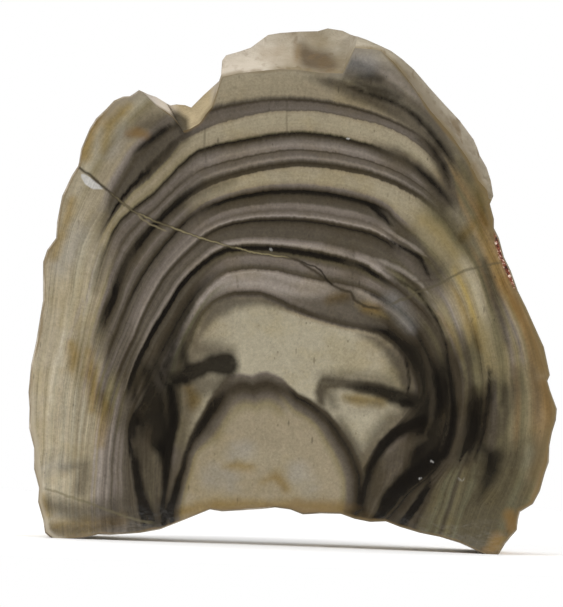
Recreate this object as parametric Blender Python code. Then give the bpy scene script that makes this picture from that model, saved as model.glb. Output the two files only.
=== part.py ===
"""Faced rough flint: one natural stone, sawn and polished on its front and rough everywhere else.

Metres, +Z up. The polished face looks along -Y. The origin is on the resting plane, under the middle of the
stone's box. The whole stone is one closed surface: rings of points that grow out of the middle of the face,
pass over its edge, and close at a pole on the back.
"""
import itertools
import math

import bpy
import numpy as np

# Driving dimensions, in metres
STONE_WIDTH = 0.1322
STONE_DEPTH = 0.042
FOOT_SPOT = 0.0005          # how much of the two lowest tips is worn flat
EDGE_WEAR = 0.0004          # the softened arris between the polished face and the side
BREAK_STEEPNESS = 1.15      # how far a broken edge falls back for each unit of its width
BREAK_HOLLOW = 1.5          # above 1 the broken edges are hollow, as flint breaks
SIDE_RUN = 0.010            # the side goes straight back this far before the back rounds over
BASE_RUN = 0.027            # and this far at the feet and the hollow between them
BASE_HEIGHT = (0.014, 0.060)    # the longer run holds below the first height and is gone above the second
SHORTEST_RUN = 0.004        # where a broken edge has already gone far back
SIDE_DRAFT = 0.06           # how much the side leans in on its way back
BACK_ROUND = (0.70, 0.78)   # powers of the back's rounding, across and along the depth
HEART_SHARE = 0.45          # the heart, which humps and flakes are aimed from, as a share of the depth
FOOT_INSET = (0.0025, -0.0012)  # from each tip to the middle of its foot, along X
FOOT_REACH = (0.005, 0.014)     # a foot holds its shape inside the first distance, and is gone at the second

# The outline as the photograph shows it, in its pixels, clockwise from the mouth of the open crack
OUTLINE = [
    (78, 166), (79, 162), (81, 149), (84, 142), (90, 128), (96, 118.5), (106, 109), (114, 100.5),
    (123, 96.5), (130, 96), (139, 90), (147, 93.5), (156, 96.5), (165, 102), (170, 104.5), (176, 103.5),
    (185, 104.5), (191, 107), (197, 101), (204, 94), (212, 87), (219, 81), (221, 75), (222, 60),
    (226, 54.5), (240, 50.5), (251, 46.5), (260, 39.5), (268, 33.5), (280, 31.5), (300, 30), (318, 29.5),
    (328, 26.5), (343, 29), (355, 35), (366, 39), (377, 44), (391, 50.5), (402, 58.5), (414, 69),
    (421, 77), (430, 87.5), (445, 104), (460, 120), (474, 139), (477.5, 147), (480, 155), (487, 167),
    (491, 180), (493.5, 196), (490, 204), (494, 219), (494, 228), (499, 238), (504, 257), (511, 271),
    (518, 291), (526, 307), (534, 325), (544, 347), (550, 375), (547.5, 381), (550, 390), (557, 409),
    (556, 420), (552, 433), (549.5, 446), (549, 462), (545, 473), (540, 491), (533, 504), (520, 512),
    (518, 520), (517, 530), (510, 538), (505, 544), (498.5, 555), (496, 556.5), (485, 554.5), (474, 549.5),
    (460, 543), (440, 537), (420, 533), (400, 527), (386, 521.5), (370, 522), (355, 519), (341, 514),
    (321, 513.5), (303, 514.5), (290, 509.5), (275, 507.5), (262, 509), (240, 510.5), (222, 511.5),
    (210, 509.5), (200, 513.5), (183, 520.5), (160, 529.5), (140, 533), (110, 535), (98, 534.5),
    (85, 537.5), (72, 539), (54, 540), (51, 538), (45, 533), (43, 520), (38, 502), (39, 488), (34, 469),
    (34, 448), (29, 428), (29.5, 408), (28.4, 392), (31, 365), (36, 342), (43, 300), (43, 262), (47, 250),
    (56, 238), (57, 222), (62, 196), (72, 175)]
# The edge of the polished face, where a break lies between it and the outline, also clockwise
FACE_EDGE = [
    (143, 92), (150, 99), (157, 106), (166, 111.5), (173, 117), (179, 124.5), (183, 131), (190, 129),
    (200, 123), (206, 114), (212, 107), (216, 95), (219, 85), (222, 77), (240, 73), (260, 71), (280, 69),
    (300, 70), (320, 73), (345, 73), (354, 47), (380, 50), (394, 62), (410, 82), (430, 110), (450, 133),
    (468, 159), (478, 180), (487, 190), (489, 200)]
MIDDLE = (295, 320)         # the middle that the rings shrink to
LEFT_TIP = (54, 540)        # the stone stands on this tip
RIGHT_TIP = (496, 556.5)    # and on this one

# Flake scars: the way to each from the stone's heart, as degrees round the face from +X and degrees of
# lean to the back, then the radius of the hollow and the depth of the bite, in metres
SCARS = [
    (98, 14, 0.052, 0.0060),
    (144, 10, 0.052, 0.0050),
    (171, 7, 0.060, 0.0045),
    (196, 34, 0.060, 0.0060),
    (66, 8, 0.050, 0.0050),
    (36, 30, 0.050, 0.0055),
    (20, 7, 0.048, 0.0045),
    (-8, 24, 0.046, 0.0055),
    (-25, 9, 0.042, 0.0040),
    (-62, 36, 0.055, 0.0040),
    (-104, 14, 0.050, 0.0035),
    (112, 62, 0.085, 0.0055),
]
# Humps on the rough surface: size across, height, seed of the pattern
HUMPS = [(0.048, 0.0040, 2), (0.024, 0.0026, 4), (0.011, 0.0013, 9), (0.0055, 0.0005, 21)]
HUMP_SINK = 0.25            # share of their height that the humps are set in by
HUMP_START = 0.008          # they reach their full height this far behind the face and above the ground
GROUND_STRIP = 0.001        # and there are none in the lowest strip
LATTICE = 16                # random values along each side of the hump pattern's lattice

LONGEST_STEP = 0.0036       # the outline's straight stretches are parted until none is longer
BREAK_RINGS = 3
SIDE_RINGS = 5
BACK_RINGS = 16
PROFILE_STEPS = 400         # fine steps that the back's even rings are picked from
OUTLINE_EASE = 8            # stations over which the outline's small nicks are evened out on the back
LOOSENING = 0.4             # the outline's nicks are gone at this share of the way over the back
ROUNDING = (0.15, 0.8)      # and its rings turn into circles between these shares

FACE_LOOK = ((0.22, 0.19, 0.15), 0.18)      # colour and roughness of the polished face
RIND_LOOK = ((0.50, 0.42, 0.30), 0.85)      # and of the rough rest


def levelled(points):
    """Photograph pixels to metres in the plane of the face, turned so that the two tips stand level."""
    pixels = np.array(points, float)
    left, right = np.array(LEFT_TIP, float), np.array(RIGHT_TIP, float)
    scale = STONE_WIDTH / np.ptp(np.array(OUTLINE)[:, 0])
    turn = math.atan2(right[1] - left[1], right[0] - left[0])
    offset = (pixels - left) * scale
    x = offset[:, 0] * math.cos(turn) + offset[:, 1] * math.sin(turn)
    z = offset[:, 0] * math.sin(turn) - offset[:, 1] * math.cos(turn)
    half_span = 0.5 * scale * math.hypot(*(right - left))
    return np.stack([x - half_span, z - FOOT_SPOT], axis=1)


def stations_along(outline):
    """The outline's own points, with more put evenly into each stretch longer than the longest step."""
    stations = []
    for start, end in zip(outline, np.roll(outline, -1, axis=0)):
        parts = math.ceil(np.linalg.norm(end - start) / LONGEST_STEP)
        stations += [start + (end - start) * step / parts for step in range(parts)]
    return np.array(stations)


def face_edge_share(stations, middle):
    """How far out the face's edge lies on the way from the middle to each station, from 0 to 1."""
    edge = levelled(FACE_EDGE) - middle
    edge_angle = np.unwrap(np.arctan2(edge[:, 1], edge[:, 0]))
    spoke = stations - middle
    reach = np.linalg.norm(spoke, axis=1)
    angle = np.arctan2(spoke[:, 1], spoke[:, 0])
    angle = np.where(angle < edge_angle[-1], angle + 2 * math.pi, angle)
    piece = np.clip(np.searchsorted(-edge_angle, -angle) - 1, 0, len(edge) - 2)
    start, end = edge[piece], edge[piece + 1]
    unit = spoke / reach[:, None]
    side = end - start
    cross_edge = start[:, 0] * side[:, 1] - start[:, 1] * side[:, 0]
    cross_spoke = unit[:, 0] * side[:, 1] - unit[:, 1] * side[:, 0]
    on_break = (angle <= edge_angle[0]) & (angle >= edge_angle[-1])
    edge_reach = np.where(on_break, cross_edge / np.where(on_break, cross_spoke, 1), reach)
    return np.minimum(edge_reach, reach - EDGE_WEAR) / reach


def hump_field(points, size, seed):
    """Smooth random heights from -1 to 1: random values on a cubic lattice, eased between its corners."""
    table = np.random.default_rng(seed).uniform(-1, 1, (LATTICE, LATTICE, LATTICE))
    cell = points / size
    low = np.floor(cell).astype(int)
    part = cell - low
    part = part * part * (3 - 2 * part)
    height = np.zeros(points.shape[:-1])
    for corner in itertools.product((0, 1), repeat=3):
        index = (low + corner) % LATTICE
        weight = np.prod(np.where(corner, part, 1 - part), axis=-1)
        height += weight * table[index[..., 0], index[..., 1], index[..., 2]]
    return height


def smooth_step(low, high, value):
    """0 below low, 1 above high, and an even ease between."""
    part = np.clip((value - low) / (high - low), 0, 1)
    return part * part * (3 - 2 * part)


def foot_weight(stations):
    """1 at the stations of the two feet, fading out to both sides."""
    feet = levelled([LEFT_TIP, RIGHT_TIP])
    feet[:, 0] += FOOT_INSET
    distance = np.min(np.linalg.norm(stations[:, None] - feet[None], axis=2), axis=1)
    return 1 - smooth_step(*FOOT_REACH, distance)


def evened(values, spread):
    """Values round the closed outline, each averaged with its neighbours over a bell of that spread."""
    offset = np.arange(-3 * spread, 3 * spread + 1)
    bell = np.exp(-0.5 * (offset / spread) ** 2)
    return sum(weight * np.roll(values, step) for step, weight in zip(offset, bell)) / bell.sum()


def back_profile(run):
    """Even steps over the rounded back: how much of the outline is kept, and the share of the depth."""
    turn = np.linspace(0, 0.5 * math.pi, PROFILE_STEPS)
    keep = np.cos(turn) ** BACK_ROUND[0]
    share = np.sin(turn) ** BACK_ROUND[1]
    step = np.hypot(np.diff(keep) * 0.5 * STONE_WIDTH, np.diff(share) * (STONE_DEPTH - run))
    travelled = np.concatenate([[0], np.cumsum(step)])
    even = np.linspace(0, travelled[-1], BACK_RINGS + 1)[1:-1]
    return list(zip(np.interp(even, travelled, keep), np.interp(even, travelled, share)))


def rough_rings(stations, depth, middle):
    """Rings from the outline to the back: straight sides that lean in a little, then a rounded back."""
    feet = foot_weight(stations)
    run = SIDE_RUN + (BASE_RUN - SIDE_RUN) * (1 - smooth_step(*BASE_HEIGHT, stations[:, 1])) - depth
    run = np.maximum(run, SHORTEST_RUN)
    draft = SIDE_DRAFT * (1 - feet)
    reach = np.linalg.norm(stations - middle, axis=1)
    calm = evened(reach, OUTLINE_EASE) / reach - 1
    rings = []
    for step in range(1, SIDE_RINGS + 1):
        share = step / SIDE_RINGS
        even = share * np.minimum(calm, 0) * (1 - feet)
        rings.append(((1 - draft * share) * (1 + even), depth + run * share))
    for keep, share in back_profile(SIDE_RUN):
        start = depth + run
        loosened = smooth_step(0, LOOSENING, 1 - keep)
        rounded = smooth_step(*ROUNDING, 1 - keep)
        even = np.minimum(calm, 0) * (1 - feet * (1 - loosened)) + loosened * np.maximum(calm, 0)
        kept = (1 + even) * (1 - rounded) + rounded * reach.mean() / reach
        rings.append(((1 - draft) * keep * kept, start + (STONE_DEPTH - start) * share))
    layers = []
    for keep, back in rings:
        flat = middle + (stations - middle) * keep[:, None]
        layers.append(np.stack([flat[:, 0], back, flat[:, 1]], axis=1))
    return np.array(layers)


def knocked_off(points, heart):
    """Pushes the points that lie inside the ball of a flake scar out to its surface, away from its middle."""
    half_size = np.array([0.5 * STONE_WIDTH, 0.5 * STONE_DEPTH, 0.5 * STONE_WIDTH])
    for around, lean, radius, bite in SCARS:
        around, lean = math.radians(around), math.radians(lean)
        aim = np.array([math.cos(lean) * math.cos(around), math.sin(lean), math.cos(lean) * math.sin(around)])
        way = points - heart
        ahead = (way @ aim) / np.linalg.norm(way, axis=-1)
        struck = points.reshape(-1, 3)[np.argmax(ahead)]
        outward = aim / half_size ** 2
        ball = struck + outward / np.linalg.norm(outward) * (radius - bite)
        away = points - ball
        distance = np.linalg.norm(away, axis=-1)[..., None]
        points = np.where(distance < radius, ball + away * radius / distance, points)
    return points


def weathered(points, heart, depth):
    """Raises humps on the rough points along their way from the heart, then knocks the flakes off."""
    way = points - heart
    unit = way / np.linalg.norm(way, axis=-1)[..., None]
    fade = smooth_step(0, HUMP_START, points[..., 1] - depth)
    fade = fade * smooth_step(GROUND_STRIP, HUMP_START, points[..., 2])
    for size, height, seed in HUMPS:
        points = points + unit * (fade * height * (hump_field(points, size, seed) - HUMP_SINK))[..., None]
    return knocked_off(points, heart)


def stone_surface():
    """All points of the stone, ring by ring, from the middle of the face to the pole on the back."""
    middle = levelled([MIDDLE])[0]
    stations = stations_along(levelled(OUTLINE))
    share = face_edge_share(stations, middle)
    width = np.linalg.norm(stations - middle, axis=1) * (1 - share)
    depth = BREAK_STEEPNESS * width
    rings = []
    for step in range(BREAK_RINGS):
        out = step / BREAK_RINGS
        flat = middle + (stations - middle) * (share + (1 - share) * out)[:, None]
        rings.append(np.stack([flat[:, 0], depth * (1 - (1 - out) ** BREAK_HOLLOW), flat[:, 1]], axis=1))
    rings.append(np.stack([stations[:, 0], depth, stations[:, 1]], axis=1))
    heart = np.array([middle[0], HEART_SHARE * STONE_DEPTH, middle[1]])
    rough = weathered(rough_rings(stations, depth, middle), heart, depth)
    front = np.array([[middle[0], 0, middle[1]]])
    pole = rough[-1].mean(axis=0)
    rings = np.concatenate([rings, rough])
    points = np.vstack([front, rings.reshape(-1, 3), pole])
    points[:, 2] = np.maximum(points[:, 2], 0)
    points[:, 1] *= STONE_DEPTH / points[:, 1].max()
    points[:, :2] -= 0.5 * (points[:, :2].min(axis=0) + points[:, :2].max(axis=0))
    return points, len(stations)


def stone_faces(point_count, station_count):
    """A fan on the polished face, triangles in pairs between the rings, and a fan at the back pole."""
    ring_count = (point_count - 2) // station_count
    pole = point_count - 1
    faces = []
    for here in range(station_count):
        after = (here + 1) % station_count
        faces.append((0, 1 + after, 1 + here))
        for ring in range(ring_count - 1):
            inner = 1 + ring * station_count
            outer = inner + station_count
            faces.append((inner + here, outer + after, outer + here))
            faces.append((inner + here, inner + after, outer + after))
        last = 1 + (ring_count - 1) * station_count
        faces.append((last + here, last + after, pole))
    return faces


def stone_material(name, colour, roughness):
    """A plain finish of one colour and roughness."""
    material = bpy.data.materials.new(name)
    material.use_nodes = True
    shader = material.node_tree.nodes["Principled BSDF"]
    shader.inputs["Base Color"].default_value = (*colour, 1)
    shader.inputs["Roughness"].default_value = roughness
    shader.inputs["Metallic"].default_value = 0
    material.diffuse_color = (*colour, 1)
    return material


def build_flint():
    """The stone as one object, with the polish on its flat face and rind on the rest."""
    points, station_count = stone_surface()
    mesh = bpy.data.meshes.new("flint")
    mesh.from_pydata(points.tolist(), [], stone_faces(len(points), station_count))
    mesh.materials.append(stone_material("polished_flint", *FACE_LOOK))
    mesh.materials.append(stone_material("rough_rind", *RIND_LOOK))
    for polygon in mesh.polygons:
        polygon.material_index = 0 if 0 in polygon.vertices else 1
    mesh.update()
    flint = bpy.data.objects.new("flint", mesh)
    bpy.context.scene.collection.objects.link(flint)
    return flint


for old in list(bpy.data.objects):
    bpy.data.objects.remove(old)
build_flint()
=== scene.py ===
import itertools
import math

import bpy
import numpy as np
from mathutils import Matrix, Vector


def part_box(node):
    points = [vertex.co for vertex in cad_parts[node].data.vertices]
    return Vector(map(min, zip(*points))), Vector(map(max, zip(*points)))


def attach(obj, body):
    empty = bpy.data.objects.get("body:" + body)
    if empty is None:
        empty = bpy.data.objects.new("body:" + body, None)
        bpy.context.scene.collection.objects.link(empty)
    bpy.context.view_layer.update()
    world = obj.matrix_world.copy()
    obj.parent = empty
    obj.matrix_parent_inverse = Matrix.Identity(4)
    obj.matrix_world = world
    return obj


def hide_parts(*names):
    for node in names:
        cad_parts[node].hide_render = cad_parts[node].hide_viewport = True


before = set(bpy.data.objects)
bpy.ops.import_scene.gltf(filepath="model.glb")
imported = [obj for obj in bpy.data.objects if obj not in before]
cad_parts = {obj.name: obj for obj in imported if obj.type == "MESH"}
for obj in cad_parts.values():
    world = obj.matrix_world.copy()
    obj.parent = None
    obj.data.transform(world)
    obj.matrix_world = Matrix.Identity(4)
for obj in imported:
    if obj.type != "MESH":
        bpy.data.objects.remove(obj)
LOW, HIGH = (np.array(corner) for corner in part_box("flint"))
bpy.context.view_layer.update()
print("stone box in mm:", np.round((HIGH - LOW) * 1000, 1))

# %% [markdown]
# ## The outline
# A sawn face shows the stone's outline at its fullest, so the whole shape hangs on that one curve. It
# could be drawn as a spline, but flint breaks in short straight nicks, so a list of corners in the
# photograph's pixels is truer. The scale and a turn of two degrees then set the stone on its two lowest
# tips.
# %% Outline and scale
STONE_WIDTH = 0.1322
STONE_DEPTH = float(HIGH[1] - LOW[1])
DRAWN_DEPTH = 0.042
FOOT_SPOT = 0.0005
OUTLINE = [
    (78, 166), (79, 162), (81, 149), (84, 142), (90, 128), (96, 118.5), (106, 109), (114, 100.5),
    (123, 96.5), (130, 96), (139, 90), (147, 93.5), (156, 96.5), (165, 102), (170, 104.5), (176, 103.5),
    (185, 104.5), (191, 107), (197, 101), (204, 94), (212, 87), (219, 81), (221, 75), (222, 60),
    (226, 54.5), (240, 50.5), (251, 46.5), (260, 39.5), (268, 33.5), (280, 31.5), (300, 30), (318, 29.5),
    (328, 26.5), (343, 29), (355, 35), (366, 39), (377, 44), (391, 50.5), (402, 58.5), (414, 69),
    (421, 77), (430, 87.5), (445, 104), (460, 120), (474, 139), (477.5, 147), (480, 155), (487, 167),
    (491, 180), (493.5, 196), (490, 204), (494, 219), (494, 228), (499, 238), (504, 257), (511, 271),
    (518, 291), (526, 307), (534, 325), (544, 347), (550, 375), (547.5, 381), (550, 390), (557, 409),
    (556, 420), (552, 433), (549.5, 446), (549, 462), (545, 473), (540, 491), (533, 504), (520, 512),
    (518, 520), (517, 530), (510, 538), (505, 544), (498.5, 555), (496, 556.5), (485, 554.5),
    (474, 549.5), (460, 543), (440, 537), (420, 533), (400, 527), (386, 521.5), (370, 522), (355, 519),
    (341, 514), (321, 513.5), (303, 514.5), (290, 509.5), (275, 507.5), (262, 509), (240, 510.5),
    (222, 511.5), (210, 509.5), (200, 513.5), (183, 520.5), (160, 529.5), (140, 533), (110, 535),
    (98, 534.5), (85, 537.5), (72, 539), (54, 540), (51, 538), (45, 533), (43, 520), (38, 502), (39, 488),
    (34, 469), (34, 448), (29, 428), (29.5, 408), (28.4, 392), (31, 365), (36, 342), (43, 300), (43, 262),
    (47, 250), (56, 238), (57, 222), (62, 196), (72, 175)]
FACE_EDGE = [
    (143, 92), (150, 99), (157, 106), (166, 111.5), (173, 117), (179, 124.5), (183, 131), (190, 129),
    (200, 123), (206, 114), (212, 107), (216, 95), (219, 85), (222, 77), (240, 73), (260, 71), (280, 69),
    (300, 70), (320, 73), (343, 73.5), (355, 48), (380, 50), (394, 62), (410, 82), (430, 110), (450, 133),
    (468, 159), (478, 180), (487, 190), (489, 200)]
MIDDLE = (295, 320)
TIPS = np.array([(54, 540), (496, 556.5)])
SCALE = STONE_WIDTH / np.ptp(np.array(OUTLINE)[:, 0])
TURN = math.atan2(TIPS[1, 1] - TIPS[0, 1], TIPS[1, 0] - TIPS[0, 0])
HALF_SPAN = 0.5 * SCALE * np.linalg.norm(TIPS[1] - TIPS[0])
print("metres in a pixel:", SCALE, "turn in degrees:", math.degrees(TURN))


# %% From pixels to the plane of the face, and back
def levelled(points):
    """Pixels to metres in the plane of the face.

    x = (dx cos t + dy sin t) s - half the span, z = (dx sin t - dy cos t) s - foot spot.
    """
    offset = (np.array(points, float) - TIPS[0]) * SCALE
    x = offset[..., 0] * math.cos(TURN) + offset[..., 1] * math.sin(TURN)
    z = offset[..., 0] * math.sin(TURN) - offset[..., 1] * math.cos(TURN)
    return np.stack([x - HALF_SPAN, z - FOOT_SPOT], axis=-1)


def pixels(x, z):
    """The same sums turned round: from metres in the plane of the face to pixels."""
    across, up = (x + HALF_SPAN) / SCALE, (z + FOOT_SPOT) / SCALE
    right = across * math.cos(TURN) + up * math.sin(TURN)
    down = across * math.sin(TURN) - up * math.cos(TURN)
    return np.stack([right + TIPS[0, 0], down + TIPS[0, 1]], axis=-1)


print("middle in mm:", np.round(levelled(MIDDLE) * 1000, 2))


# %% Stations along the outline
def stations_along(outline, longest):
    """The outline's own corners, with points spread evenly between two that are over longest apart."""
    stations = []
    for start, end in zip(outline, np.roll(outline, -1, axis=0)):
        parts = math.ceil(np.linalg.norm(end - start) / longest)
        stations.append(start + (end - start) * (np.arange(parts) / parts)[:, None])
    return np.concatenate(stations)


def travelled(points):
    """Distance along a closed line of points, from its first one."""
    return np.concatenate([[0], np.cumsum(np.linalg.norm(np.diff(points, axis=0), axis=1))])


OUTLINE_PLANE = levelled(OUTLINE)
COARSE = stations_along(OUTLINE_PLANE, 0.0036)
STATIONS = stations_along(OUTLINE_PLANE, 0.0008)
print("stations:", len(COARSE), "in the solid,", len(STATIONS), "here")

# %% [markdown]
# ## The body of the stone
# The stone could be sculpted, but a surface worked out from two numbers stays tidy: how far round the
# outline, and how far along a line that runs from the middle of the face, over its edge, down the side
# and round the back. Rings of points with the same second number grow out of the middle and close at a
# pole behind.
# %% Values of the body
EDGE_WEAR = 0.0004
BREAK_STEEPNESS, BREAK_HOLLOW = 1.15, 1.5
SIDE_RUN, BASE_RUN, SHORTEST_RUN = 0.010, 0.027, 0.004
BASE_HEIGHT = (0.014, 0.060)
SIDE_DRAFT = 0.06
BACK_ROUND = (0.70, 0.78)
FOOT_INSET = (0.0025, -0.0012)
FOOT_REACH = (0.005, 0.014)
OUTLINE_EASE = 8
FACE_RINGS, BREAK_RINGS, SIDE_RINGS, BACK_RINGS = 96, 6, 12, 26
MIDDLE_PLANE = levelled(MIDDLE)
HEART = np.array([MIDDLE_PLANE[0], 0.45 * DRAWN_DEPTH, MIDDLE_PLANE[1]])


def smooth_step(low, high, value):
    """0 below low, 1 above high, and 3 p^2 - 2 p^3 between."""
    part = np.clip((value - low) / (high - low), 0, 1)
    return part * part * (3 - 2 * part)


# %% The polished face's share of each spoke
def face_share(stations):
    """Where the spoke from the middle to a station crosses the face's edge, as a share of the spoke."""
    edge = levelled(FACE_EDGE) - MIDDLE_PLANE
    edge_angle = np.unwrap(np.arctan2(edge[:, 1], edge[:, 0]))
    spoke = stations - MIDDLE_PLANE
    reach = np.linalg.norm(spoke, axis=1)
    angle = np.arctan2(spoke[:, 1], spoke[:, 0])
    angle = np.where(angle < edge_angle[-1], angle + 2 * math.pi, angle)
    piece = np.clip(np.searchsorted(-edge_angle, -angle) - 1, 0, len(edge) - 2)
    start, side = edge[piece], edge[piece + 1] - edge[piece]
    unit = spoke / reach[:, None]
    cross_edge = start[:, 0] * side[:, 1] - start[:, 1] * side[:, 0]
    cross_spoke = unit[:, 0] * side[:, 1] - unit[:, 1] * side[:, 0]
    on_break = (angle <= edge_angle[0]) & (angle >= edge_angle[-1])
    edge_reach = np.where(on_break, cross_edge / np.where(on_break, cross_spoke, 1), reach)
    return np.minimum(edge_reach, reach - EDGE_WEAR) / reach


def filled_in(stations, parts=4):
    """Extra stations, evenly spaced, wherever the face's share jumps from one station to the next."""
    jump = abs(np.roll(face_share(stations), -1) - face_share(stations)) > 0.02
    more = [start + (end - start) * (np.arange(parts if much else 1) / parts)[:, None]
            for start, end, much in zip(stations, np.roll(stations, -1, axis=0), jump)]
    return np.concatenate(more)


STATIONS = filled_in(STATIONS)
SHARE = face_share(STATIONS)
print("stations after filling in:", len(STATIONS))
REACH = np.linalg.norm(STATIONS - MIDDLE_PLANE, axis=1)
BREAK_DEPTH = BREAK_STEEPNESS * REACH * (1 - SHARE)
print("deepest break in mm:", round(float(BREAK_DEPTH.max()) * 1000, 2))


# %% Rings of the face and of the broken edge
def face_rings():
    """Flat rings: middle + (station - middle) * share * p^0.85, for p from just above 0 to 1."""
    out = (np.arange(1, FACE_RINGS + 1) / FACE_RINGS) ** 0.85
    flat = MIDDLE_PLANE + (STATIONS - MIDDLE_PLANE) * (SHARE * out[:, None])[..., None]
    return np.stack([flat[..., 0], np.zeros(flat.shape[:2]), flat[..., 1]], axis=-1)


def break_rings():
    """Rings from the face's edge to the outline, falling back as depth * (1 - (1 - p)^hollow)."""
    out = (np.arange(1, BREAK_RINGS + 1) / BREAK_RINGS)[:, None]
    flat = MIDDLE_PLANE + (STATIONS - MIDDLE_PLANE) * (SHARE + (1 - SHARE) * out)[..., None]
    back = BREAK_DEPTH * (1 - (1 - out) ** BREAK_HOLLOW)
    return np.stack([flat[..., 0], back, flat[..., 1]], axis=-1)


print("rings so far:", len(face_rings()) + len(break_rings()))


# %% Rings of the side and the back
def outline_calm():
    """How far an outline evened out over a bell of stations lies from the real one, as a share of reach."""
    reach = np.linalg.norm(COARSE - MIDDLE_PLANE, axis=1)
    offset = np.arange(-3 * OUTLINE_EASE, 3 * OUTLINE_EASE + 1)
    bell = np.exp(-0.5 * (offset / OUTLINE_EASE) ** 2)
    even = sum(weight * np.roll(reach, step) for step, weight in zip(offset, bell)) / bell.sum()
    length = travelled(np.vstack([COARSE, COARSE[:1]]))
    calm = np.interp(travelled(STATIONS), length[:-1], even / reach - 1, period=length[-1])
    return calm, reach.mean()


def back_profile():
    """Even steps over (cos^a, sin^b): how much of the outline is kept, and the share of the depth."""
    turn = np.linspace(0, 0.5 * math.pi, 400)
    keep, share = np.cos(turn) ** BACK_ROUND[0], np.sin(turn) ** BACK_ROUND[1]
    step = np.hypot(np.diff(keep) * 0.5 * STONE_WIDTH, np.diff(share) * (DRAWN_DEPTH - SIDE_RUN))
    length = np.concatenate([[0], np.cumsum(step)])
    even = np.linspace(0, length[-1], BACK_RINGS + 1)[1:-1]
    return np.interp(even, length, keep)[:, None], np.interp(even, length, share)[:, None]


def rough_rings():
    """Straight sides that lean in, then a back rounded by the profile, whose rings turn into circles."""
    tips = levelled(TIPS)
    tips[:, 0] += FOOT_INSET
    feet = 1 - smooth_step(*FOOT_REACH, np.linalg.norm(STATIONS[:, None] - tips, axis=2).min(axis=1))
    run = SIDE_RUN + (BASE_RUN - SIDE_RUN) * (1 - smooth_step(*BASE_HEIGHT, STATIONS[:, 1])) - BREAK_DEPTH
    run = np.maximum(run, SHORTEST_RUN)
    draft = SIDE_DRAFT * (1 - feet)
    calm, mean_reach = outline_calm()
    out = (np.arange(1, SIDE_RINGS + 1) / SIDE_RINGS)[:, None]
    side_keep = (1 - draft * out) * (1 + out * np.minimum(calm, 0) * (1 - feet))
    side_back = BREAK_DEPTH + run * out
    keep, share = back_profile()
    start = BREAK_DEPTH + run
    loosened = smooth_step(0, 0.4, 1 - keep)
    rounded = smooth_step(0.15, 0.8, 1 - keep)
    even = np.minimum(calm, 0) * (1 - feet * (1 - loosened)) + loosened * np.maximum(calm, 0)
    kept = (1 + even) * (1 - rounded) + rounded * mean_reach / REACH
    keeps = np.concatenate([side_keep, (1 - draft) * keep * kept])
    backs = np.concatenate([side_back, start + (DRAWN_DEPTH - start) * share])
    flat = MIDDLE_PLANE + (STATIONS - MIDDLE_PLANE) * keeps[..., None]
    return np.stack([flat[..., 0], backs, flat[..., 1]], axis=-1)


print("rough rings:", rough_rings().shape)

# %% [markdown]
# ## Humps and flake scars
# The outside of a flint nodule swells and dips, and hammer blows leave hollow scars. Both are worked out
# on the points: humps from smooth random heights on a lattice, and scars by pushing every point that lies
# inside a ball out to the ball's surface, which leaves the shallow dish that struck flint has.
# %% Humps from a lattice
HUMPS = [(0.048, 0.0040, 2), (0.024, 0.0026, 4), (0.011, 0.0013, 9), (0.0055, 0.0005, 21)]
KNOBS = [(0.0034, 0.00028, 31), (0.0019, 0.00014, 32)]


def lattice_heights(points, size, seed):
    """Random values from -1 to 1 on a cubic lattice, eased between its corners by 3 p^2 - 2 p^3."""
    table = np.random.default_rng(seed).uniform(-1, 1, (16, 16, 16))
    cell = points / size
    low = np.floor(cell).astype(int)
    part = cell - low
    part = part * part * (3 - 2 * part)
    height = np.zeros(points.shape[:-1])
    for corner in itertools.product((0, 1), repeat=3):
        index = (low + corner) % 16
        weight = np.prod(np.where(corner, part, 1 - part), axis=-1)
        height += weight * table[index[..., 0], index[..., 1], index[..., 2]]
    return height


def weathered(points):
    """Moves each point along its way from the heart by the sum of the humps, faded in behind the face."""
    way = points - HEART
    unit = way / np.linalg.norm(way, axis=-1)[..., None]
    fade = smooth_step(0, 0.008, points[..., 1] - BREAK_DEPTH) * smooth_step(0.001, 0.008, points[..., 2])
    for size, height, seed in HUMPS:
        points = points + unit * (fade * height * (lattice_heights(points, size, seed) - 0.25))[..., None]
    return points


# %% Flake scars
SCARS = [
    (98, 14, 0.052, 0.0060), (144, 10, 0.052, 0.0050), (171, 7, 0.060, 0.0045), (196, 34, 0.060, 0.0060),
    (66, 8, 0.050, 0.0050), (36, 30, 0.050, 0.0055), (20, 7, 0.048, 0.0045), (-8, 24, 0.046, 0.0055),
    (-25, 9, 0.042, 0.0040), (-62, 36, 0.055, 0.0040), (-104, 14, 0.050, 0.0035),
    (112, 62, 0.085, 0.0055)]


def struck(points):
    """Pushes points out of each scar's ball; gives each point's depth in a ball and its ripples too."""
    half_size = np.array([0.5 * STONE_WIDTH, 0.5 * DRAWN_DEPTH, 0.5 * STONE_WIDTH])
    depth = np.full(points.shape[:-1], -1.0)
    ripple = np.zeros(points.shape[:-1])
    for around, lean, radius, bite in SCARS:
        around, lean = math.radians(around), math.radians(lean)
        flat = math.cos(lean)
        aim = np.array([flat * math.cos(around), math.sin(lean), flat * math.sin(around)])
        way = points - HEART
        ahead = (way @ aim) / np.linalg.norm(way, axis=-1)
        hit = points.reshape(-1, 3)[np.argmax(ahead)]
        outward = aim / half_size ** 2
        ball = hit + outward / np.linalg.norm(outward) * (radius - bite)
        away = points - ball
        distance = np.linalg.norm(away, axis=-1)
        inside = distance < radius
        strike = hit - np.array([0, 0.018, 0])
        ripple = np.where(inside, np.linalg.norm(points - strike, axis=-1), ripple)
        depth = np.maximum(depth, radius - distance)
        points = np.where(inside[..., None], ball + away * (radius / distance)[..., None], points)
    return points, depth, ripple


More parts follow.
